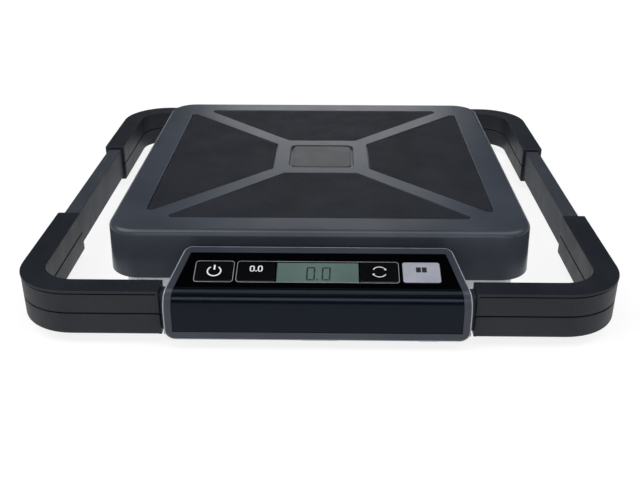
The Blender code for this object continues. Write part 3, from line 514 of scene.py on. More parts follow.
def padCorners(side, turned=True):
    # A pad's four corners, anticlockwise, its long side outwards
    look = coverLook
    lengthwise = side in ("front", "rear")
    outer = coverHalf[1 if lengthwise else 0] - look["padMargin"]
    across = coverHalf[0 if lengthwise else 1] - look["padMargin"]
    wide, narrow = across - look["ribOuter"][side], look["padInner"] - look["ribInner"]
    points = [(-wide, -outer), (wide, -outer), (narrow, -look["padInner"]), (-narrow, -look["padInner"])]
    for _ in range(padTurns[side] if turned else 0):
        points = [(-y, x) for x, y in points]
    return points


def makeCover():
    look = coverLook
    top, low, fillet = coverHigh.z, coverLow.z, coverLook["fillet"]
    lean = look["draft"] * fillet / (top - low)
    edge = look["lipEdge"]
    profile = [(edge - look["draft"], low), (-look["draft"], low + edge)]
    profile += arc(fillet - lean, top - fillet, fillet, look["filletSteps"], 180, 90)
    profile.append((fillet - lean + 0.0006, top))
    form = newForm()
    addStack(form, rectangle(*coverHalf), look["corner"], profile, steps=14,
             capStart=False, capEnd=False)
    inside = [(edge - look["draft"], low), (look["wall"] - look["draft"], low),
              (look["wall"], top - look["wall"] - 0.001), (look["wall"] + 0.001, top - look["wall"])]
    addStack(form, rectangle(*coverHalf), look["corner"], inside, steps=14, capStart=False)
    rim, floor = look["recessEdge"], top - look["recess"]
    dip = [(-rim - 0.0005, top)] + arc(-rim, top - rim, rim, 4, 90, 0) + [(0, floor)]
    # Each recess's wall below its rounded rim and its floor take the third finish: painted shade in the gaps
    # round the pads and the badge
    for side in padTurns:
        addStack(form, padCorners(side), [look["padTip"]] * 2 + [look["padRoot"]] * 2, dip,
                 worn=(1, 2, 3), dark=(4, 5), endMark=2, capStart=False)
    half = look["badge"] / 2 + look["badgeGap"]
    addStack(form, rectangle(half, half), look["badgeCorner"] + look["badgeGap"], dip,
             worn=(1, 2, 3), dark=(4, 5), endMark=2, capStart=False)
    makePiece("platform_cover_moulding", form, ["slate", "slate", "paintedGapShade"], "platform", "slate_plastic",
              ["platform_cover"], fillLevels=(top,), place=onPlatform)


makeCover()
print("platform cover made")


# Pads: a rubber sheet with pressed diamonds over it. They stand 2.2 mm apart, a little coarser
# than on most such rubber, so that they show from arm's length

padLook = {
    "gap": 0.0011, "edge": 0.0003, "pitch": 0.0022, "tip": 0.0004, "bare": 0.0005, "fill": 0.68,
    "crown": 0.3, "rise": 0.0004,
}


def addMath(tree, operation, *terms):
    # One term after another; each is a number or another node's output
    result = terms[0]
    for term in terms[1:]:
        values = {i: t for i, t in enumerate((result, term)) if isinstance(t, (int, float))}
        links = {i: t for i, t in enumerate((result, term)) if not isinstance(t, (int, float))}
        result = addNode(tree, "ShaderNodeMath", {"operation": operation}, values, links).outputs[0]
    return result


def newTree(name, inputs):
    tree = bpy.data.node_groups.new(name, "GeometryNodeTree")
    tree.interface.new_socket("Geometry", in_out="INPUT", socket_type="NodeSocketGeometry")
    for label, kind in inputs.items():
        tree.interface.new_socket(label, in_out="INPUT", socket_type="NodeSocket" + kind)
    tree.interface.new_socket("Geometry", in_out="OUTPUT", socket_type="NodeSocketGeometry")
    return tree, addNode(tree, "NodeGroupInput").outputs


def closeTree(tree, geometry, finish):
    # Instances become real mesh and take the finish before they leave the tree
    real = addNode(tree, "GeometryNodeRealizeInstances", None, None, {"Geometry": geometry})
    dressed = addNode(tree, "GeometryNodeSetMaterial", None, None,
                      {"Geometry": real.outputs[0], "Material": finish})
    addNode(tree, "NodeGroupOutput", None, None, {"Geometry": dressed.outputs[0]})


def diamondTree():
    # A square grid turned by 45 degrees, kept inside the pad, with a small pyramid on each point
    tree, given = newTree("pressed diamonds", {
        "Pitch": "Float", "Tip": "Float", "Fill": "Float", "Outer Line": "Float",
        "Inner Line": "Float", "Outer Half": "Float", "Inner Half": "Float", "Level": "Float",
        "Turn": "Float", "Centre": "Vector", "Finish": "Material"})
    reach = addMath(tree, "MULTIPLY", given["Outer Half"], 3.0)
    count = addMath(tree, "DIVIDE", reach, given["Pitch"])
    grid = addNode(tree, "GeometryNodeMeshGrid", None, None,
                   {"Size X": reach, "Size Y": reach, "Vertices X": count, "Vertices Y": count})
    slanted = addNode(tree, "GeometryNodeTransform", None, {"Rotation": (0.0, 0.0, math.pi / 4)},
                      {"Geometry": grid.outputs["Mesh"]})
    where = addNode(tree, "ShaderNodeSeparateXYZ", None, None,
                    {"Vector": addNode(tree, "GeometryNodeInputPosition").outputs[0]})
    x = addNode(tree, "ShaderNodeMath", {"operation": "ABSOLUTE"}, None, {0: where.outputs["X"]}).outputs[0]
    edge = addNode(tree, "ShaderNodeMapRange", None, None,
                   {"Value": where.outputs["Y"], "From Min": given["Outer Line"],
                    "From Max": given["Inner Line"], "To Min": given["Outer Half"],
                    "To Max": given["Inner Half"]})
    inside = addMath(tree, "MULTIPLY",
                     addMath(tree, "LESS_THAN", x, edge.outputs["Result"]),
                     addMath(tree, "GREATER_THAN", where.outputs["Y"], given["Outer Line"]),
                     addMath(tree, "LESS_THAN", where.outputs["Y"], given["Inner Line"]))
    foot = addMath(tree, "MULTIPLY", given["Pitch"], math.sqrt(0.5), given["Fill"])
    crown = addMath(tree, "MULTIPLY", foot, padLook["crown"])
    bump = addNode(tree, "GeometryNodeMeshCone", {"fill_type": "NGON"},
                   {"Vertices": 4},
                   {"Radius Top": crown, "Radius Bottom": foot, "Depth": given["Tip"]})
    spread = addNode(tree, "GeometryNodeInstanceOnPoints", None, None,
                     {"Points": slanted.outputs[0], "Selection": inside, "Instance": bump.outputs["Mesh"]})
    lift = addNode(tree, "ShaderNodeCombineXYZ", None, None, {"Z": given["Level"]})
    spin = addNode(tree, "ShaderNodeCombineXYZ", None, None, {"Z": given["Turn"]})
    moved = addNode(tree, "GeometryNodeTransform", None, None,
                    {"Geometry": spread.outputs[0], "Translation": lift.outputs[0],
                     "Rotation": spin.outputs[0]})
    centred = addNode(tree, "GeometryNodeTransform", None, None,
                      {"Geometry": moved.outputs[0], "Translation": given["Centre"]})
    joined = addNode(tree, "GeometryNodeJoinGeometry")
    tree.links.new(given["Geometry"], joined.inputs[0])
    tree.links.new(centred.outputs[0], joined.inputs[0])
    closeTree(tree, joined.outputs[0], given["Finish"])
    return tree


def makePads(tree):
    look = padLook
    for side, turn in padTurns.items():
        low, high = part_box(side + "_pad")
        gap = look["gap"]
        top = high.z + look["rise"]
        edge = look["edge"]
        profile = [(gap, low.z)] + arc(gap + edge, top - edge, edge, 3, 180, 90)
        profile.append((gap + edge + 0.0003, top))
        form = newForm()
        radii = [coverLook["padTip"]] * 2 + [coverLook["padRoot"]] * 2
        addStack(form, padCorners(side), radii, profile)
        # The sheet shows between the diamonds and takes the valley finish: painted shade
        piece = objectOf(side + "_pad_sheet", meshOf(side + "_pad_sheet", form, place=onPlatform),
                         ["padValleyShade"])
        shade(piece)
        base = padCorners(side, turned=False)
        slant = look["bare"] * math.tan(math.radians(22.5))
        grow(piece, tree, {
            "Pitch": look["pitch"], "Tip": look["tip"], "Fill": look["fill"],
            "Outer Line": base[0][1] + look["bare"] + gap, "Inner Line": base[2][1] - look["bare"] - gap,
            "Outer Half": base[1][0] - 2 * (look["bare"] + gap) - slant - 0.001,
            "Inner Half": base[2][0] - slant - 0.0006,
            "Level": top - 0.00004, "Turn": turn * math.pi / 2,
            "Centre": (coverMiddle.x, coverMiddle.y, 0.0), "Finish": finishes["pad"],
        }, "platform", "pad_rubber", side + "_pad")


makePads(diamondTree())
print("pads made")


# Badge

badgeLook = {"edge": 0.0005, "steps": 4, "corner": 0.0045, "rise": 0.0003, "trim": 0.0005}


def makeBadge():
    look = badgeLook
    low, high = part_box("centre_badge")
    half = (high.x - low.x) / 2 - look["trim"]
    edge = look["edge"]
    top = high.z + look["rise"]
    profile = [(0, low.z)] + arc(edge, top - edge, edge, look["steps"], 180, 90)
    profile.append((edge + 0.0004, top))
    form = newForm()
    addStack(form, rectangle(half, half), look["corner"], profile, worn=(2, 3, 4))
    makePiece("centre_badge_plate", form, ["badge", "badge"], "platform", "badge_plate",
              ["centre_badge"], place=onPlatform)


makeBadge()
print("badge made")


# Base tray, its ribs and its feet

trayLook = {"wall": 0.0025, "corner": 0.017, "edge": 0.0014, "lip": 0.0005}
ribLook = {"spacing": 0.0275, "count": 8, "thickness": 0.0016, "height": 0.0012}
footLook = {"edge": 0.0012, "grooves": (0.0032, 0.0055, 0.0078), "width": 0.0009, "depth": 0.0006}


def makeTray():
    look = trayLook
    low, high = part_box("base_tray")
    half = ((high.x - low.x) / 2, (high.y - low.y) / 2)
    wall, edge, lip = look["wall"], look["edge"], look["lip"]
    profile = [(edge + 0.0004, low.z)] + arc(edge, low.z + edge, edge, 5, 270, 180)
    profile += arc(lip, high.z - lip, lip, 3, 180, 90)
    profile += arc(wall - lip, high.z - lip, lip, 3, 90, 0)
    profile += [(wall, low.z + wall)]
    form = newForm()
    addStack(form, rectangle(*half), look["corner"], profile, steps=12)
    makePiece("base_tray_moulding", form, ["tray", "tray"], "base", "light_grey_plastic",
              ["base_tray"], place=onPlatform)


def ribTree():
    # One straight rib repeated along a line, then the same again the other way across
    tree, given = newTree("tray ribs", {
        "Spacing": "Float", "Count": "Int", "Thickness": "Float", "Height": "Float",
        "Level": "Float", "Centre": "Vector", "Finish": "Material"})
    last = addMath(tree, "SUBTRACT", given["Count"], 1.0)
    span = addMath(tree, "MULTIPLY", given["Spacing"], last)
    sides = []
    for across, down in (("X", "Y"), ("Y", "X")):
        size = addNode(tree, "ShaderNodeCombineXYZ", None, None,
                       {across: given["Thickness"], down: span, "Z": given["Height"]})
        rib = addNode(tree, "GeometryNodeMeshCube", None, None, {"Size": size.outputs[0]})
        start = addNode(tree, "ShaderNodeCombineXYZ", None, None,
                        {across: addMath(tree, "MULTIPLY", span, -0.5), "Z": given["Level"]})
        step = addNode(tree, "ShaderNodeCombineXYZ", None, None, {across: given["Spacing"]})
        line = addNode(tree, "GeometryNodeMeshLine", None, None,
                       {"Count": given["Count"], "Start Location": start.outputs[0],
                        "Offset": step.outputs[0]})
        sides.append(addNode(tree, "GeometryNodeInstanceOnPoints", None, None,
                             {"Points": line.outputs[0], "Instance": rib.outputs["Mesh"]}).outputs[0])
    joined = addNode(tree, "GeometryNodeJoinGeometry")
    for side in sides:
        tree.links.new(side, joined.inputs[0])
    moved = addNode(tree, "GeometryNodeTransform", None, None,
                    {"Geometry": joined.outputs[0], "Translation": given["Centre"]})
    closeTree(tree, moved.outputs[0], given["Finish"])
    return tree


def makeRibs():
    look = ribLook
    low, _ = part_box("base_tray")
    piece = objectOf("tray_underside_ribs", bpy.data.meshes.new("ribs"), ["tray"])
    grow(piece, ribTree(), {
        "Spacing": look["spacing"], "Count": look["count"], "Thickness": look["thickness"],
        "Height": look["height"], "Level": low.z - look["height"] / 2 + 0.0001,
        "Centre": (coverMiddle.x, coverMiddle.y, 0.0), "Finish": finishes["tray"],
    }, "base", "light_grey_plastic")


def makeFeet():
    look = footLook
    for end in ("front", "rear"):
        for side in ("left", "right"):
            low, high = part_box(f"{end}_{side}_foot")
            middle = (low + high) / 2
            radius = (high.x - low.x) / 2
            profile = [(0.0001, 0.0)]
            for groove in look["grooves"]:
                half = look["width"] / 2
                profile += [(groove - half, 0.0), (groove - half * 0.6, look["depth"]),
                            (groove + half * 0.6, look["depth"]), (groove + half, 0.0)]
            profile += arc(radius - look["edge"], look["edge"], look["edge"], 5, 270, 360)
            profile += [(radius, high.z - 0.0003), (radius - 0.0003, high.z), (0.0001, high.z)]
            form = newForm()
            addTurned(form, profile, 36, Matrix.Translation((middle.x, middle.y, low.z)))
            makePiece(f"{end}_{side}_foot_rubber", form, ["rubber"], "base", "black_rubber",
                      [f"{end}_{side}_foot"])


makeTray()
makeRibs()
makeFeet()
print("tray, ribs and feet made")


# Handle frame: tubes, grips and bridges

handleLook = {
    "corner": 0.044, "middle": 0.00925, "tubeEdge": 0.0009, "arcSteps": 16,
    "gripWidth": 0.0185, "channel": 0.00655, "rim": 0.0008, "inset": 0.0004, "edge": 0.0008,
    "groove": 0.0011, "grooveDepth": 0.0012, "under": 0.0022, "endRim": 0.0018, "seamEdge": 0.0004,
    "clearance": 0.0003, "edgeSteps": 4, "underSteps": 5, "seat": 0.0115, "joinY": 0.05,
    "endSteps": (0.0003, 0.0008), "endShrink": (0.0005, 0.00015),
}
leftLow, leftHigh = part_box("front_left_grip_lower")
rightLow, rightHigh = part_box("rear_right_grip_upper")
frameHalf = ((rightHigh.x - leftLow.x) / 2, (rightHigh.y - leftLow.y) / 2)
frameY = (rightHigh.y + leftLow.y) / 2


def cornerPath(sideX, sideY, endX, endY, extra=()):
    # Points along the frame's middle line with outward normals, from the front or back to the side
    look = handleLook
    radius = look["corner"] - look["middle"]
    level = sideY * (frameHalf[1] - look["middle"])
    edge = sideX * (frameHalf[0] - look["middle"])
    turnX, turnY = sideX * (frameHalf[0] - look["corner"]), sideY * (frameHalf[1] - look["corner"])
    path = [((sideX * (endX + step), level), (0, sideY)) for step in (0.0, *extra)]
    for step in range(look["arcSteps"] + 1):
        angle = math.pi / 2 * step / look["arcSteps"]
        normal = (sideX * math.sin(angle), sideY * math.cos(angle))
        path.append(((turnX + radius * normal[0], turnY + radius * normal[1]), normal))
    path += [((edge, sideY * (endY + step)), (sideX, 0)) for step in (*reversed(extra), 0.0)]
    return path


def sweep(form, path, sections, wornSides=(), shadeSides=()):
    rings = []
    for ((x, y), (normalX, normalY)), section in zip(path, sections):
        rings.append([(x + normalX * out, y + frameY + normalY * out, z) for out, z in section])
    addRings(form, rings, wornSides=wornSides, shadeSides=shadeSides)


def gripSection(half, low, high, inset, shrink=0.0):
    # One half of a grip in section, outer side first: (distance out from the middle line, height)
    look = handleLook
    wide, channel = look["gripWidth"] / 2, look["channel"]
    edge, rim = look["edge"], look["rim"]
    seam = look["seamEdge"]
    if half == "upper":
        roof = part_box("left_handle_tube")[1].z + look["clearance"]
        sill = high - edge - rim
        deep = wide - inset - (look["grooveDepth"] if inset else 0.0)
        outer = [(wide - inset - seam, low), (wide - inset, low + seam),
                 (wide - inset, sill - look["groove"]), (deep, sill - look["groove"]),
                 (deep, sill), (wide, sill)]
        outer += arc(wide - edge, high - edge, edge, look["edgeSteps"], 0, 90)
        inner = arc(edge - wide, high - edge, edge, look["edgeSteps"], 90, 180)
        inner += [(-wide, low + seam), (-wide + seam, low)]
        hollow = [(-channel, low), (-channel, roof), (channel, roof), (channel, low)]
    else:
        under = look["under"]
        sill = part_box("left_handle_tube")[0].z - look["clearance"]
        outer = [(wide - inset - seam, high), (wide - inset, high - seam)]
        outer += arc(wide - inset - under, low + under, under, look["underSteps"], 0, -90)
        inner = arc(under - wide, low + under, under, look["underSteps"], 270, 180)
        inner += [(-wide, high - seam), (-wide + seam, high)]
        hollow = [(-channel, high), (-channel, sill), (channel, sill), (channel, high)]
    points = outer + inner + hollow
    if shrink:
        # The end face is drawn in a little, so that its rim is rounded off
        points = [(out - math.copysign(shrink, out) if abs(out) > channel + 0.0001 else out,
                   z + (shrink if z <= low + 0.0001 else 0) - (shrink if z >= high - 0.0001 else 0))
                  for out, z in points]
    return points


def makeGrips():
    look = handleLook
    for end, sideY in (("front", -1), ("rear", 1)):
        for side, sideX in (("left", -1), ("right", 1)):
            for half in ("upper", "lower"):
                node = f"{end}_{side}_grip_{half}"
                low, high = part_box(node)
                endX = min(abs(low.x), abs(high.x))
                endY = min(abs(low.y - frameY), abs(high.y - frameY))
                extra = (*look["endSteps"], look["endRim"], look["endRim"] + look["inset"])
                path = cornerPath(sideX, sideY, endX, endY, extra)
                inset = look["inset"]
                bare = gripSection(half, low.z, high.z, 0.0)
                inner = gripSection(half, low.z, high.z, inset)
                ends = [gripSection(half, low.z, high.z, 0.0, shrink) for shrink in look["endShrink"]]
                ends += [bare, bare, inner]
                sections = ends + [inner] * (len(path) - 2 * len(ends)) + ends[::-1]
                form = newForm()
                # The upper half's seam edge and top outer edge take the paler finish, a painted highlight,
                # and the groove under its rim is painted shade; the lower half's seam edge is painted shade
                # too
                worn, dark = ((0, *range(6, 10)), (2, 3, 4)) if half == "upper" else ((), (0,))
                sweep(form, path, sections, worn, dark)
                makePiece(f"{end}_{side}_handle_grip_{half}", form, ["grip", "paintedGripHighlight", "paintedGapShade"],
                          "base", "dark_slate_plastic", [node])


def makeTubes():
    look = handleLook
    for side, sideX in (("left", -1), ("right", 1)):
        low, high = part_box(side + "_handle_tube")
        wide = abs(low.x if sideX < 0 else high.x) - (frameHalf[0] - look["middle"])
        corners = rectangle(wide, (high.z - low.z) / 2, (0.0, (low.z + high.z) / 2))
        section = outline(corners, look["tubeEdge"], 0.0, 4)
        # The two upper edges, each an arc of four strips, take the paler finish: a painted highlight
        worn = [strip for start in (10, 15) for strip in range(start, start + 4)]
        bare = outline(corners, look["tubeEdge"], 0.0006, 4)
        path = cornerPath(sideX, -1, tubeEnds["front"], look["joinY"])[:-1]
        path += cornerPath(sideX, 1, tubeEnds["rear"], look["joinY"])[::-1][1:]
        sections = [section] * len(path)
        sections[0] = sections[-1] = bare
        form = newForm()
        sweep(form, path, sections, worn)
        makePiece(side + "_handle_tube_steel", form, ["tube", "tubeEdge"], "base", "painted_tube",
                  [side + "_handle_tube"])


# The tubes reach a little way into the bridges
tubeEnds = {end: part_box(end + "_bridge")[1].x - handleLook["seat"] for end in ("front", "rear")}
makeTubes()
makeGrips()
# The bridges' bevels take the paler grip finish: a painted highlight on their edges
cleanCopy("front_bridge_beam", "front_bridge", ["grip", "paintedGripHighlight"], 0.0005, "dark_slate_plastic", mark=1)
cleanCopy("rear_bridge_beam", "rear_bridge", ["grip", "paintedGripHighlight"], 0.0009, "dark_slate_plastic", 3, mark=1)
print("handle frame made")


# Display head

headLook = {
    "angle": 17.0, "frontHeight": 0.0431, "creaseRun": 0.0082, "creaseDrop": 0.0160, "taper": 0.0111,
    "backCorner": 0.007, "lowCorner": 0.008, "edge": 0.0012, "skin": 0.0034, "side": 0.004,
    "back": 0.0022, "sideRim": 0.0062, "backRim": 0.0070, "lowRim": 0.0067, "panel": 0.0012,
    "sink": 0.0002, "split": 0.0085, "gap": 0.0002, "panelCorner": 0.003, "panelSteps": 8,
    "keyMiddle": 0.0245, "holeHalf": 0.01005, "holeCorner": 0.0021, "keyGap": 0.0003,
    "tubeSlotHalf": 0.00745, "tubeSlotAbove": 0.0012, "tubeHalf": 0.00625,
    "neckHalf": 0.0612, "neckDeep": 0.008, "neckHigh": 0.0097, "hollowCorner": 0.003,
    "holeBelow": 0.0095, "holeAbove": 0.0105, "past": 0.01, "tall": 0.1,
    "lips": ((0.0015, 0.0135), (0.0775, 0.0075)), "lipDeep": 0.0016, "lipBack": 0.0030,
}
headLow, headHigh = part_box("head_shell")
headDepth = headHigh.y - headLow.y
onFace = (Matrix.Translation((0, headLow.y, headLook["frontHeight"]))
          @ Matrix.Rotation(math.radians(headLook["angle"]), 4, "X"))
sideOn = Matrix(((0, 0, 1, 0), (1, 0, 0, 0), (0, 1, 0, 0), (0, 0, 0, 1)))
frontOn = Matrix(((1, 0, 0, 0), (0, 0, -1, 0), (0, 1, 0, 0), (0, 0, 0, 1)))


def headHalf(y):
    return headHigh.x - (y - headLow.y) * headLook["taper"] / headDepth


def faceLine(outward, backEnd, lowEnd, steps=18):
    # Up the front, round the crease and over the sloping face, moved outwards
    look = headLook
    corner = Vector((headLow.y, look["frontHeight"]))
    low = corner - Vector((0, look["creaseDrop"]))
    high = (onFace @ Vector((0, look["creaseRun"], 0))).yz
    points = [(headLow.y - outward, lowEnd)]
    for step in range(steps + 1):
        share = step / steps
        way = ((corner - low) * (1 - share) + (high - corner) * share).normalized()
        middle = low * (1 - share) ** 2 + corner * 2 * share * (1 - share) + high * share ** 2
        points.append((middle.x - way.y * outward, middle.y + way.x * outward))
    end = onFace @ Vector((0, backEnd, outward))
    points.append((end.y, end.z))
    return points


def headPlan(side, back, front, corner, steps=10):
    y0, y1 = headLow.y + front, headHigh.y - back
    near, far = headHalf(y0) - side, headHalf(y1) - side
    return outline([(-near, y0), (near, y0), (far, y1), (-far, y1)],
                   [0.0, 0.0, corner, corner], 0.0, steps)


def helper(name, points, low, high, place=still):
    # A prism that only cuts or trims another piece
    form = newForm()
    addPrism(form, points, low, high, place)
    made = objectOf(name, meshOf(name, form), ["slate"])
    made.data.materials.clear()
    return made


def headWedge(name, skin, side, back, low, corner):
    # The head's shape drawn in by the skin, the side and the back, down to a level
    past, tall = headLook["past"], headLook["tall"]
    reach = headDepth / math.cos(math.radians(headLook["angle"])) + 2 * past
    line = faceLine(-skin, reach, low)
    wide = headHigh.x + past
    wedge = helper(name, line + [(line[-1][0], low)], -wide, wide, sideOn)
    plan = helper(name + "_plan", headPlan(side, back, -past, corner), -2 * past, tall)
    return booleanPiece(wedge, [plan], "INTERSECT")


def makeHeadShell():
    look = headLook
    shell = headWedge("display_head_shell", 0.0, 0.0, 0.0, headLow.z, look["backCorner"])
    wide, past = headHigh.x, look["past"]
    front = outline([(-wide, headLow.z), (wide, headLow.z), (wide, 0.09), (-wide, 0.09)],
                    [look["lowCorner"], look["lowCorner"], 0.0, 0.0], 0.0, 12)
    trim = helper("head_front", front, -headHigh.y - past, -headLow.y + past, frontOn)
    booleanPiece(shell, [trim], "INTERSECT")
    joinFlat(shell.data, 0.000004, 0.02)
    shell.data.materials.clear()
    # The shell's bevels take the paler slate finish: a painted highlight along the head's edges
    for key in ("headSlateShaded", "paintedSlateHighlight"):
        shell.data.materials.append(finishes[key])
    soften(shell, look["edge"], 4, 42, mark=1)
    hollow = headWedge("head_hollow", look["skin"], look["side"], look["back"], -past,
                       look["hollowCorner"])
    backEnd = headDepth / math.cos(math.radians(look["angle"])) - look["backRim"] + look["gap"]
    depth = -(look["sink"] + look["panel"] + 0.0003)
    low = headLow.z + look["lowRim"] - look["gap"]
    strip = faceLine(0.004, backEnd, low) + faceLine(depth, backEnd, low)[::-1]
    recess = helper("panel_recess", strip, -wide - past, wide + past, sideOn)
    plan = headPlan(look["sideRim"] - look["gap"], -past, -past, 0.0)
    booleanPiece(recess, [helper("recess_plan", plan, -2 * past, look["tall"])], "INTERSECT")
    cuts = [hollow, recess]
    keyLow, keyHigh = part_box("key_power")
    outer = (abs(keyLow.x) - abs(keyHigh.x)) / 2 + look["keyGap"]
    holes = [(0.0, abs(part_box("key_tare")[0].x) + look["keyGap"])]
    holes += [(sign * (abs(keyLow.x) + abs(keyHigh.x)) / 2, outer) for sign in (-1, 1)]
    for x, half in holes:
        cuts.append(helper("face_hole", rectangle(half, look["holeHalf"], (x, look["keyMiddle"])),
                           -look["holeBelow"], look["holeAbove"], onFace))
    tubeLow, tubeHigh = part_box("left_handle_tube")
    slot = rectangle(wide + past, look["tubeSlotHalf"], (0, tubeLow.y + look["tubeHalf"]))
    cuts.append(helper("tube_slot", slot, -past, tubeHigh.z + look["tubeSlotAbove"]))
    neck = rectangle(look["neckHalf"], look["neckDeep"], (0, headHigh.y))
    cuts.append(helper("neck_slot", neck, -past, headLow.z + look["neckHigh"]))
    booleanPiece(shell, cuts, "DIFFERENCE")
    smooth(shell)
    hand(shell, "display_head", "slate_plastic", "head_shell")


def makeFacePanel():
    look = headLook
    backEnd = headDepth / math.cos(math.radians(look["angle"])) - look["backRim"]
    corners = []
    for sign, u in ((-1, look["split"]), (1, look["split"]), (1, backEnd), (-1, backEnd)):
        y = (onFace @ Vector((0, u, 0))).y
        corners.append((sign * (headHalf(y) - look["sideRim"]), u))
    top, low, edge = -look["sink"], -look["sink"] - look["panel"], 0.00015
    form = newForm()
    profile = [(0, low)] + arc(edge, top - edge, edge, 2, 180, 90)
    addStack(form, corners, [0.0003, 0.0003, 0.0012, 0.0012], profile, capStart=False, capEnd=False)
    hole = [(0, low)] + arc(-edge, top - edge, edge, 2, 0, 90)
    for x in map(keyMiddle, keyBoxes):
        addStack(form, rectangle(keyHalf + look["keyGap"], look["holeHalf"], (x, look["keyMiddle"])),
                 look["holeCorner"], hole, steps=6, capStart=False, capEnd=False)
    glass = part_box("lcd_glass")
    window = rectangle(glass[1].x + look["keyGap"], look["holeHalf"], (0, look["keyMiddle"]))
    addStack(form, window, 0.0003, hole, steps=3, capStart=False, capEnd=False)
    makePiece("face_panel_acrylic", form, ["gloss"], "display_head", "gloss_black", ["face_panel"],
              fillLevels=(low, top), place=onFace)


def makeFrontPanel():
    # Rows across the head, from the panel's foot up the front and round the crease
    look = headLook
    low = headLow.z + look["lowRim"]
    corner = look["panelCorner"]
    split = look["split"] - look["gap"]
    outer = faceLine(-look["sink"], split, low)
    inner = faceLine(-look["sink"] - look["panel"], split, low)
    rows = []
    for step in range(look["panelSteps"] + 1):
        angle = math.pi / 2 * step / look["panelSteps"]
        z = low + corner * (1 - math.cos(angle))
        short = corner * (1 - math.sin(angle))
        rows.append(((outer[0][0], z), (inner[0][0], z), short))
    rows += [(a, b, 0.0) for a, b in zip(outer[1:], inner[1:])]
    rings = []
    for (yOut, zOut), (yIn, zIn), short in rows:
        halfOut = headHalf(yOut) - look["sideRim"] - short
        rings.append([(-halfOut, yOut, zOut), (halfOut, yOut, zOut),
                      (halfOut, yIn, zIn), (-halfOut, yIn, zIn)])
    form = newForm()
    addRings(form, rings)
    makePiece("front_panel_acrylic", form, ["glossFront"], "display_head", "gloss_black", ["front_panel"],
              edge=0.0002)


def makeLips():
    # Two low lips under the head's front edge
    look = headLook
    form = newForm()
    profile = [(0.0003, headLow.z - 0.0007), (0, headLow.z - 0.0004), (0, headLow.z + 0.0006)]
    for x, half in look["lips"]:
        foot = rectangle(half, look["lipDeep"], (x, headLow.y + look["lipBack"]))
        addStack(form, foot, look["lipDeep"] / 2, profile, steps=3)
    # The lips take the head's darker slate copy, painted shade
    makePiece("display_head_lips", form, ["headSlateShaded"], "display_head", "slate_plastic")


keyBoxes = {name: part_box(name) for name in ("key_power", "key_tare", "key_units", "key_hold")}
keyHalf = (keyBoxes["key_tare"][1].x - keyBoxes["key_tare"][0].x) / 2


def keyMiddle(name):
    low, high = keyBoxes[name]
    return (low.x + high.x) / 2


makeHeadShell()
makeFacePanel()
makeFrontPanel()
makeLips()
print("display head made")


# Keys, their marks and the display

keyLook = {"corner": 0.0018, "proud": 0.0003, "edge": 0.0003, "mark": 0.00003, "line": 0.00038,
           "halfDeep": 0.00975}
keyBodies = {"key_power": "power_key", "key_tare": "tare_key", "key_units": "units_key",
             "key_hold": "hold_key"}


def makeKeys():
    look = keyLook
    finishFor = {"key_hold": ("silver", "silver_key")}
    for name, body in keyBodies.items():
        x = keyMiddle(name)
        edge = look["edge"]
        profile = [(0, -0.0014)] + arc(edge, look["proud"] - edge, edge, 4, 180, 90)
        profile.append((edge + 0.0004, look["proud"]))
        form = newForm()
        addStack(form, rectangle(keyHalf, look["halfDeep"], (x, headLook["keyMiddle"])), look["corner"],
                 profile, steps=6)
        key, slot = finishFor.get(name, ("blackKey", "black_key"))
        makePiece(name + "_cap", form, [key], body, slot, [name], place=onFace)


def strokePath(form, points, width, low, high, closed=False):
    # A flat line of even width along the points
    count = len(points)
    left, right = [], []
    for index, point in enumerate(points):
        here = Vector(point)
        before = Vector(points[index - 1] if index or closed else point)
        after = Vector(points[(index + 1) % count] if index < count - 1 or closed else point)
        along = (after - before).normalized()
        side = Vector((-along.y, along.x)) * width / 2
        left.append(here + side)
        right.append(here - side)
    rings = [[(a.x, a.y, low), (a.x, a.y, high), (b.x, b.y, high), (b.x, b.y, low)]
             for a, b in zip(left, right)]
    if closed:
        rings.append(rings[0])
    addRings(form, rings, capStart=not closed, capEnd=not closed)


def arcPoints(x, y, radius, first, last, steps=24):
    return [(x + radius * math.cos(math.radians(first + (last - first) * s / steps)),
             y + radius * math.sin(math.radians(first + (last - first) * s / steps)))
            for s in range(steps + 1)]


markLook = {
    "ring": 0.0047, "ringLine": 0.0010, "barHalf": (0.0006, 0.0024), "barUp": 0.0034,
    "noughtStep": 0.0028, "noughtHalf": (0.0013, 0.0025), "noughtUp": 0.0024, "noughtLine": 0.00085,
    "arrowRing": 0.0049, "arrowLine": 0.0006, "arrowHalf": 0.0011,
    "blockStep": 0.00205, "blockHalf": (0.0017, 0.0025), "blockUp": 0.0023,
}


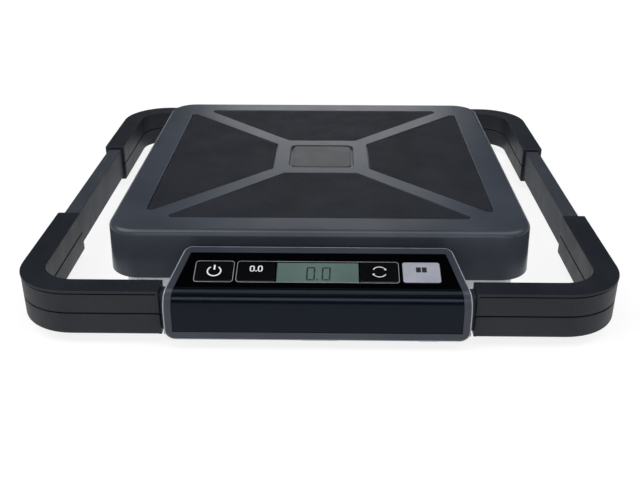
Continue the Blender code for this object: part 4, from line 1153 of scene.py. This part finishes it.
def makeMarks():
    look = markLook
    low, high = keyLook["proud"] - 0.0001, keyLook["proud"] + keyLook["mark"]
    level = headLook["keyMiddle"]
    # Power: a ring open at the top, and a bar in the gap
    form, x = newForm(), keyMiddle("key_power")
    strokePath(form, arcPoints(x, level - 0.0002, look["ring"], 125, 415, 40), look["ringLine"], low, high)
    bar = rectangle(*look["barHalf"], (x, level + look["barUp"]))
    addPrism(form, outline(bar, 0.0004, 0.0, 3), low, high)
    makePiece("power_symbol", form, ["whitePrint"], "power_key", "silver_key", place=onFace)
    # Tare: two noughts and a point
    form, x = newForm(), keyMiddle("key_tare")
    for step in (-look["noughtStep"], look["noughtStep"]):
        nought = rectangle(*look["noughtHalf"], (x + step, level + look["noughtUp"]))
        strokePath(form, outline(nought, 0.0012, 0.0, 6), look["noughtLine"], low, high, closed=True)
    addPrism(form, arcPoints(x, level + 0.0002, 0.0006, 0, 330, 11), low, high)
    makePiece("tare_symbol", form, ["whitePrint"], "tare_key", "silver_key", place=onFace)
    # Units: two arrows chasing each other round a ring
    form, x = newForm(), keyMiddle("key_units")
    radius, half = look["arrowRing"], look["arrowHalf"]
    for turn in (0, 180):
        strokePath(form, arcPoints(x, level, radius, turn + 28, turn + 152, 20), look["arrowLine"], low, high)
        tip = arcPoints(x, level, radius, turn + 18, turn + 18, 1)[0]
        inner = arcPoints(x, level, radius - half, turn + 34, turn + 34, 1)[0]
        outer = arcPoints(x, level, radius + half, turn + 34, turn + 34, 1)[0]
        addPrism(form, [tip, outer, inner], low, high)
    makePiece("units_symbol", form, ["whitePrint"], "units_key", "silver_key", place=onFace)
    # Hold: two dark blocks
    form, x = newForm(), keyMiddle("key_hold")
    for step in (-look["blockStep"], look["blockStep"]):
        block = rectangle(*look["blockHalf"], (x + step, level + look["blockUp"]))
        addPrism(form, outline(block, 0.0002, 0.0, 2), low, high)
    makePiece("hold_symbol", form, ["darkPrint"], "hold_key", "black_key", place=onFace)


def makeKeyFrames():
    # Thin silver lines printed on the panel: one round the power key, one round the display group
    look = keyLook
    low, high = -headLook["sink"] - 0.0001, -headLook["sink"] + 0.00004
    half = keyHalf + headLook["keyGap"]
    deep = look["halfDeep"] + headLook["keyGap"]
    line = look["line"]
    form = newForm()
    groups = ((keyMiddle("key_power"), half), (0.0, keyMiddle("key_units") + half))
    for x, halfX in groups:
        ring = outline(rectangle(halfX + line / 2, deep + line / 2, (x, headLook["keyMiddle"])),
                       headLook["holeCorner"] + line / 2, 0.0, 8)
        strokePath(form, ring, line, low, high, closed=True)
    makePiece("key_frame_lines", form, ["silverPrint"], "display_head", "silver_key", place=onFace)


displayLook = {"sink": 0.0008, "thickness": 0.0037, "stroke": 0.0011, "digitWide": 0.0062,
               "digitHigh": 0.0128, "gap": 0.00022, "left": -0.0082, "foot": 0.0171, "lean": 0.03,
               "spacing": 0.0109, "pinch": 0.4, "dotHalf": 0.00065, "dotRight": 0.0018,
               "dotUp": 0.0007, "sunk": 0.0001, "proud": 0.00003}


def makeDisplay():
    look = displayLook
    glassLow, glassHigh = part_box("lcd_glass")
    top = -(headLook["sink"] + look["sink"])
    form = newForm()
    addStack(form, rectangle(glassHigh.x, keyLook["halfDeep"], (0, headLook["keyMiddle"])), 0.0002,
             [(0, top - look["thickness"]), (0, top - 0.0001), (0.0001, top), (0.0006, top)],
             steps=2)
    makePiece("lcd_glass_plate", form, ["lcd"], "display_head", "display_glass", ["lcd_glass"],
              place=onFace)
    # Six dark segments for each nought, with mitred ends, and the point between them
    form = newForm()
    wide, tall, stroke, gap = look["digitWide"], look["digitHigh"], look["stroke"], look["gap"]
    for start in (look["left"], look["left"] + look["spacing"]):
        x0, x1 = start, start + wide
        y0, y1 = look["foot"], look["foot"] + tall
        middle = (y0 + y1) / 2
        inLeft, inRight = x0 + stroke + gap, x1 - stroke - gap
        parts = [
            [(x0 + gap, y1), (x1 - gap, y1), (inRight, y1 - stroke), (inLeft, y1 - stroke)],
            [(x0 + gap, y0), (inLeft, y0 + stroke), (inRight, y0 + stroke), (x1 - gap, y0)],
        ]
        for edge, inward in ((x0, 1), (x1, -1)):
            for a, b in ((y0, middle), (middle, y1)):
                outer, inner = edge, edge + inward * stroke
                lower = a + gap if a == y0 else a + gap / 2
                upper = b - gap if b == y1 else b - gap / 2
                shape = [(outer, lower), (inner, lower + (stroke if a == y0 else stroke * look["pinch"])),
                         (inner, upper - (stroke if b == y1 else stroke * look["pinch"])), (outer, upper)]
                parts.append(shape)
        for part in parts:
            leaned = [(x + (y - y0) * look["lean"], y) for x, y in part]
            addPrism(form, leaned, top - look["sunk"], top + look["proud"])
    dot = rectangle(look["dotHalf"], look["dotHalf"],
                    (look["left"] + wide + look["dotRight"], look["foot"] + look["dotUp"]))
    addPrism(form, dot, top - look["sunk"], top + look["proud"])
    makePiece("lcd_segments", form, ["segment"], "display_head", "black_key", place=onFace)


makeKeys()
makeMarks()
makeKeyFrames()
makeDisplay()
print("keys and display made")


# Inner and under pieces

for name, slot, key, edge in (
    ("platform_plate", "zinc_steel", "steel", 0.0002),
    ("platform_spider", "aluminium", "aluminium", 0.0008),
    ("load_cell_top_block", "aluminium", "aluminium", 0.0004),
    ("load_cell_base_block", "aluminium", "aluminium", 0.0004),
    ("dock_cover", "dark_slate_plastic", "grip", 0.0003),
    ("battery_box", "dark_slate_plastic", "grip", 0.0003),
    ("battery_door", "dark_slate_plastic", "grip", 0.0002),
    ("battery_contact_left", "zinc_steel", "steel", 0.0002),
    ("battery_contact_right", "zinc_steel", "steel", 0.0002),
):
    cleanCopy(name + "_finished", name, [key], edge, slot)

keptFinish = {
    "load_cell": "aluminium", "main_board": "board",
    "base_cable_grommet": "rubber", "head_cable_grommet": "rubber",
    "battery_cell_1": "cell", "battery_cell_2": "cell", "battery_cell_3": "cell",
}
for name in nodes:
    if "bolt" in name or "screw" in name or "stop" in name:
        keptFinish[name] = "steel"
for name, key in keptFinish.items():
    piece = nodes[name]
    while len(piece.data.materials) < 1:
        piece.data.materials.append(None)
    piece.data.materials[0] = finishes[key]
print("inner pieces finished")


# Screws under the base and the grips

screwLook = {"radius": 0.0030, "height": 0.0011, "slotWidth": 0.0009, "slotLength": 0.0036,
             "slotDepth": 0.0007, "corner": 0.016, "sideY": 0.092, "trayX": 0.104, "trayY": 0.122,
             "sunk": 0.0002}


def screwTree():
    # A tapered head with a cross cut in it, once, then placed on every point given
    tree, given = newTree("cross-head screws", {
        "Radius": "Float", "Height": "Float", "Slot Width": "Float", "Slot Length": "Float",
        "Slot Depth": "Float", "Finish": "Material"})
    crown = addMath(tree, "MULTIPLY", given["Radius"], 0.72)
    head = addNode(tree, "GeometryNodeMeshCone", {"fill_type": "NGON"}, {"Vertices": 20},
                   {"Radius Top": crown, "Radius Bottom": given["Radius"], "Depth": given["Height"]})
    deep = addMath(tree, "MULTIPLY", given["Slot Depth"], 2.0)
    solid = head.outputs["Mesh"]
    for sizes in (("Slot Length", "Slot Width"), ("Slot Width", "Slot Length")):
        size = addNode(tree, "ShaderNodeCombineXYZ", None, None,
                       {"X": given[sizes[0]], "Y": given[sizes[1]], "Z": deep})
        bar = addNode(tree, "GeometryNodeMeshCube", None, None, {"Size": size.outputs[0]})
        up = addNode(tree, "ShaderNodeCombineXYZ", None, None, {"Z": given["Height"]})
        raised = addNode(tree, "GeometryNodeTransform", None, None,
                         {"Geometry": bar.outputs["Mesh"], "Translation": up.outputs[0]})
        cut = addNode(tree, "GeometryNodeMeshBoolean", {"operation": "DIFFERENCE"})
        tree.links.new(solid, cut.inputs[0])
        tree.links.new(raised.outputs[0], cut.inputs[1])
        solid = cut.outputs[0]
    placed = addNode(tree, "GeometryNodeInstanceOnPoints", None, {"Rotation": (math.pi, 0.0, 0.0)},
                     {"Points": given["Geometry"], "Instance": solid})
    closeTree(tree, placed.outputs[0], given["Finish"])
    return tree


def makeScrews():
    look = screwLook
    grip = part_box("front_left_grip_lower")[0].z + look["sunk"]
    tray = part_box("base_tray")[0].z + look["sunk"] / 2
    spots = ((frameHalf[0] - look["corner"], frameHalf[1] - look["corner"], grip),
             (frameHalf[0] - handleLook["middle"], look["sideY"], grip),
             (look["trayX"], look["trayY"], tray))
    points = [(sideX * x, frameY + sideY * y, z)
              for sideX in (-1, 1) for sideY in (-1, 1) for x, y, z in spots]
    mesh = bpy.data.meshes.new("screws")
    mesh.from_pydata(points, [], [])
    piece = objectOf("underside_screws", mesh, ["steel"])
    grow(piece, screwTree(), {
        "Radius": look["radius"], "Height": look["height"], "Slot Width": look["slotWidth"],
        "Slot Length": look["slotLength"], "Slot Depth": look["slotDepth"],
        "Finish": finishes["steel"],
    }, "base", "zinc_steel")


makeScrews()
print("screws made")


# Studio

studioLook = {
    "floorHalf": 6.0, "floorGlow": 0.84, "world": (0.022, 0.024, 0.03),
    "suns": (("overhead", 0.6, 36.0, (10.0, 0.0)), ("left_window", 1.65, 50.0, (6.0, -38.0)),
             ("right_window", 1.1, 50.0, (6.0, 38.0))),
    "boxes": (("back_softbox", (0.0, 2.2, 0.66), 0.8, 0.28, 2.0),
              ("front_strip", (0.0, -2.2, 0.78), 1.8, 0.45, 9.5),
              ("front_fill", (0.0, -1.7, 2.2), 2.4, 1.2, 2.8)),
}


def floorFinish():
    # A white sweep lit from below, so that shadows on it stay pale
    made, tree, shader, place = startFinish("studio sweep, opal acrylic")
    blotch = addNode(tree, "ShaderNodeTexNoise", None, noise(0.8), {"Vector": place})
    tone = addNode(tree, "ShaderNodeMix", {"data_type": "RGBA"},
                   {6: hexToLinear("#7a7a7a"), 7: hexToLinear("#7e7e7e")}, {0: blotch.outputs["Fac"]})
    tree.links.new(tone.outputs[2], shader.inputs["Base Color"])
    shader.inputs["Emission Color"].default_value = (1.0, 1.0, 1.0, 1.0)
    shader.inputs["Emission Strength"].default_value = studioLook["floorGlow"]
    shader.inputs["Roughness"].default_value = 0.9
    shader.inputs["Specular IOR Level"].default_value = 0.1
    return made


def makeStudio():
    look = studioLook
    half = look["floorHalf"]
    mesh = bpy.data.meshes.new("floor")
    mesh.from_pydata([(x, y, 0) for x, y in rectangle(half, half)], [], [(0, 1, 2, 3)])
    mesh.materials.append(floorFinish())
    floor = bpy.data.objects.new("floor", mesh)
    bpy.context.scene.collection.objects.link(floor)
    world = bpy.data.worlds.new("studio")
    bpy.context.scene.world = world
    world.use_nodes = True
    back = world.node_tree.nodes["Background"]
    back.inputs["Color"].default_value = (*look["world"], 1)
    back.inputs["Strength"].default_value = 1.0

    for name, strength, spread, (leanX, leanY) in look["suns"]:
        # Leans in degrees: the first towards the front, the second towards the right
        sun = bpy.data.lights.new(name, "SUN")
        sun.energy = strength
        sun.angle = math.radians(spread)
        lamp = bpy.data.objects.new(name, sun)
        lamp.rotation_euler = (math.radians(leanX), math.radians(leanY), 0)
        bpy.context.scene.collection.objects.link(lamp)
    for name, place, wide, tall, power in look["boxes"]:
        light = bpy.data.lights.new(name, "AREA")
        light.shape = "RECTANGLE"
        light.size, light.size_y, light.energy = wide, tall, power
        lamp = bpy.data.objects.new(name, light)
        lamp.location = place
        aim = Vector((0, 0, 0.05)) - Vector(place)
        lamp.rotation_euler = aim.to_track_quat("-Z", "Y").to_euler()
        bpy.context.scene.collection.objects.link(lamp)


cameraLook = {"place": (0.00995, -0.7116, 0.32925), "pitch": 63.93, "yaw": 0.918, "lens": 47.37}


def makeCamera():
    look = cameraLook
    camera = bpy.data.objects.new("camera", bpy.data.cameras.new("camera"))
    camera.data.lens = look["lens"]
    camera.data.clip_start = 0.01
    camera.location = look["place"]
    camera.rotation_euler = (math.radians(look["pitch"]), 0, math.radians(look["yaw"]))
    bpy.context.scene.collection.objects.link(camera)
    bpy.context.scene.camera = camera


makeStudio()
makeCamera()
bpy.context.scene.view_settings.view_transform = "Standard"
print("studio and camera made")

bpy.context.view_layer.update()
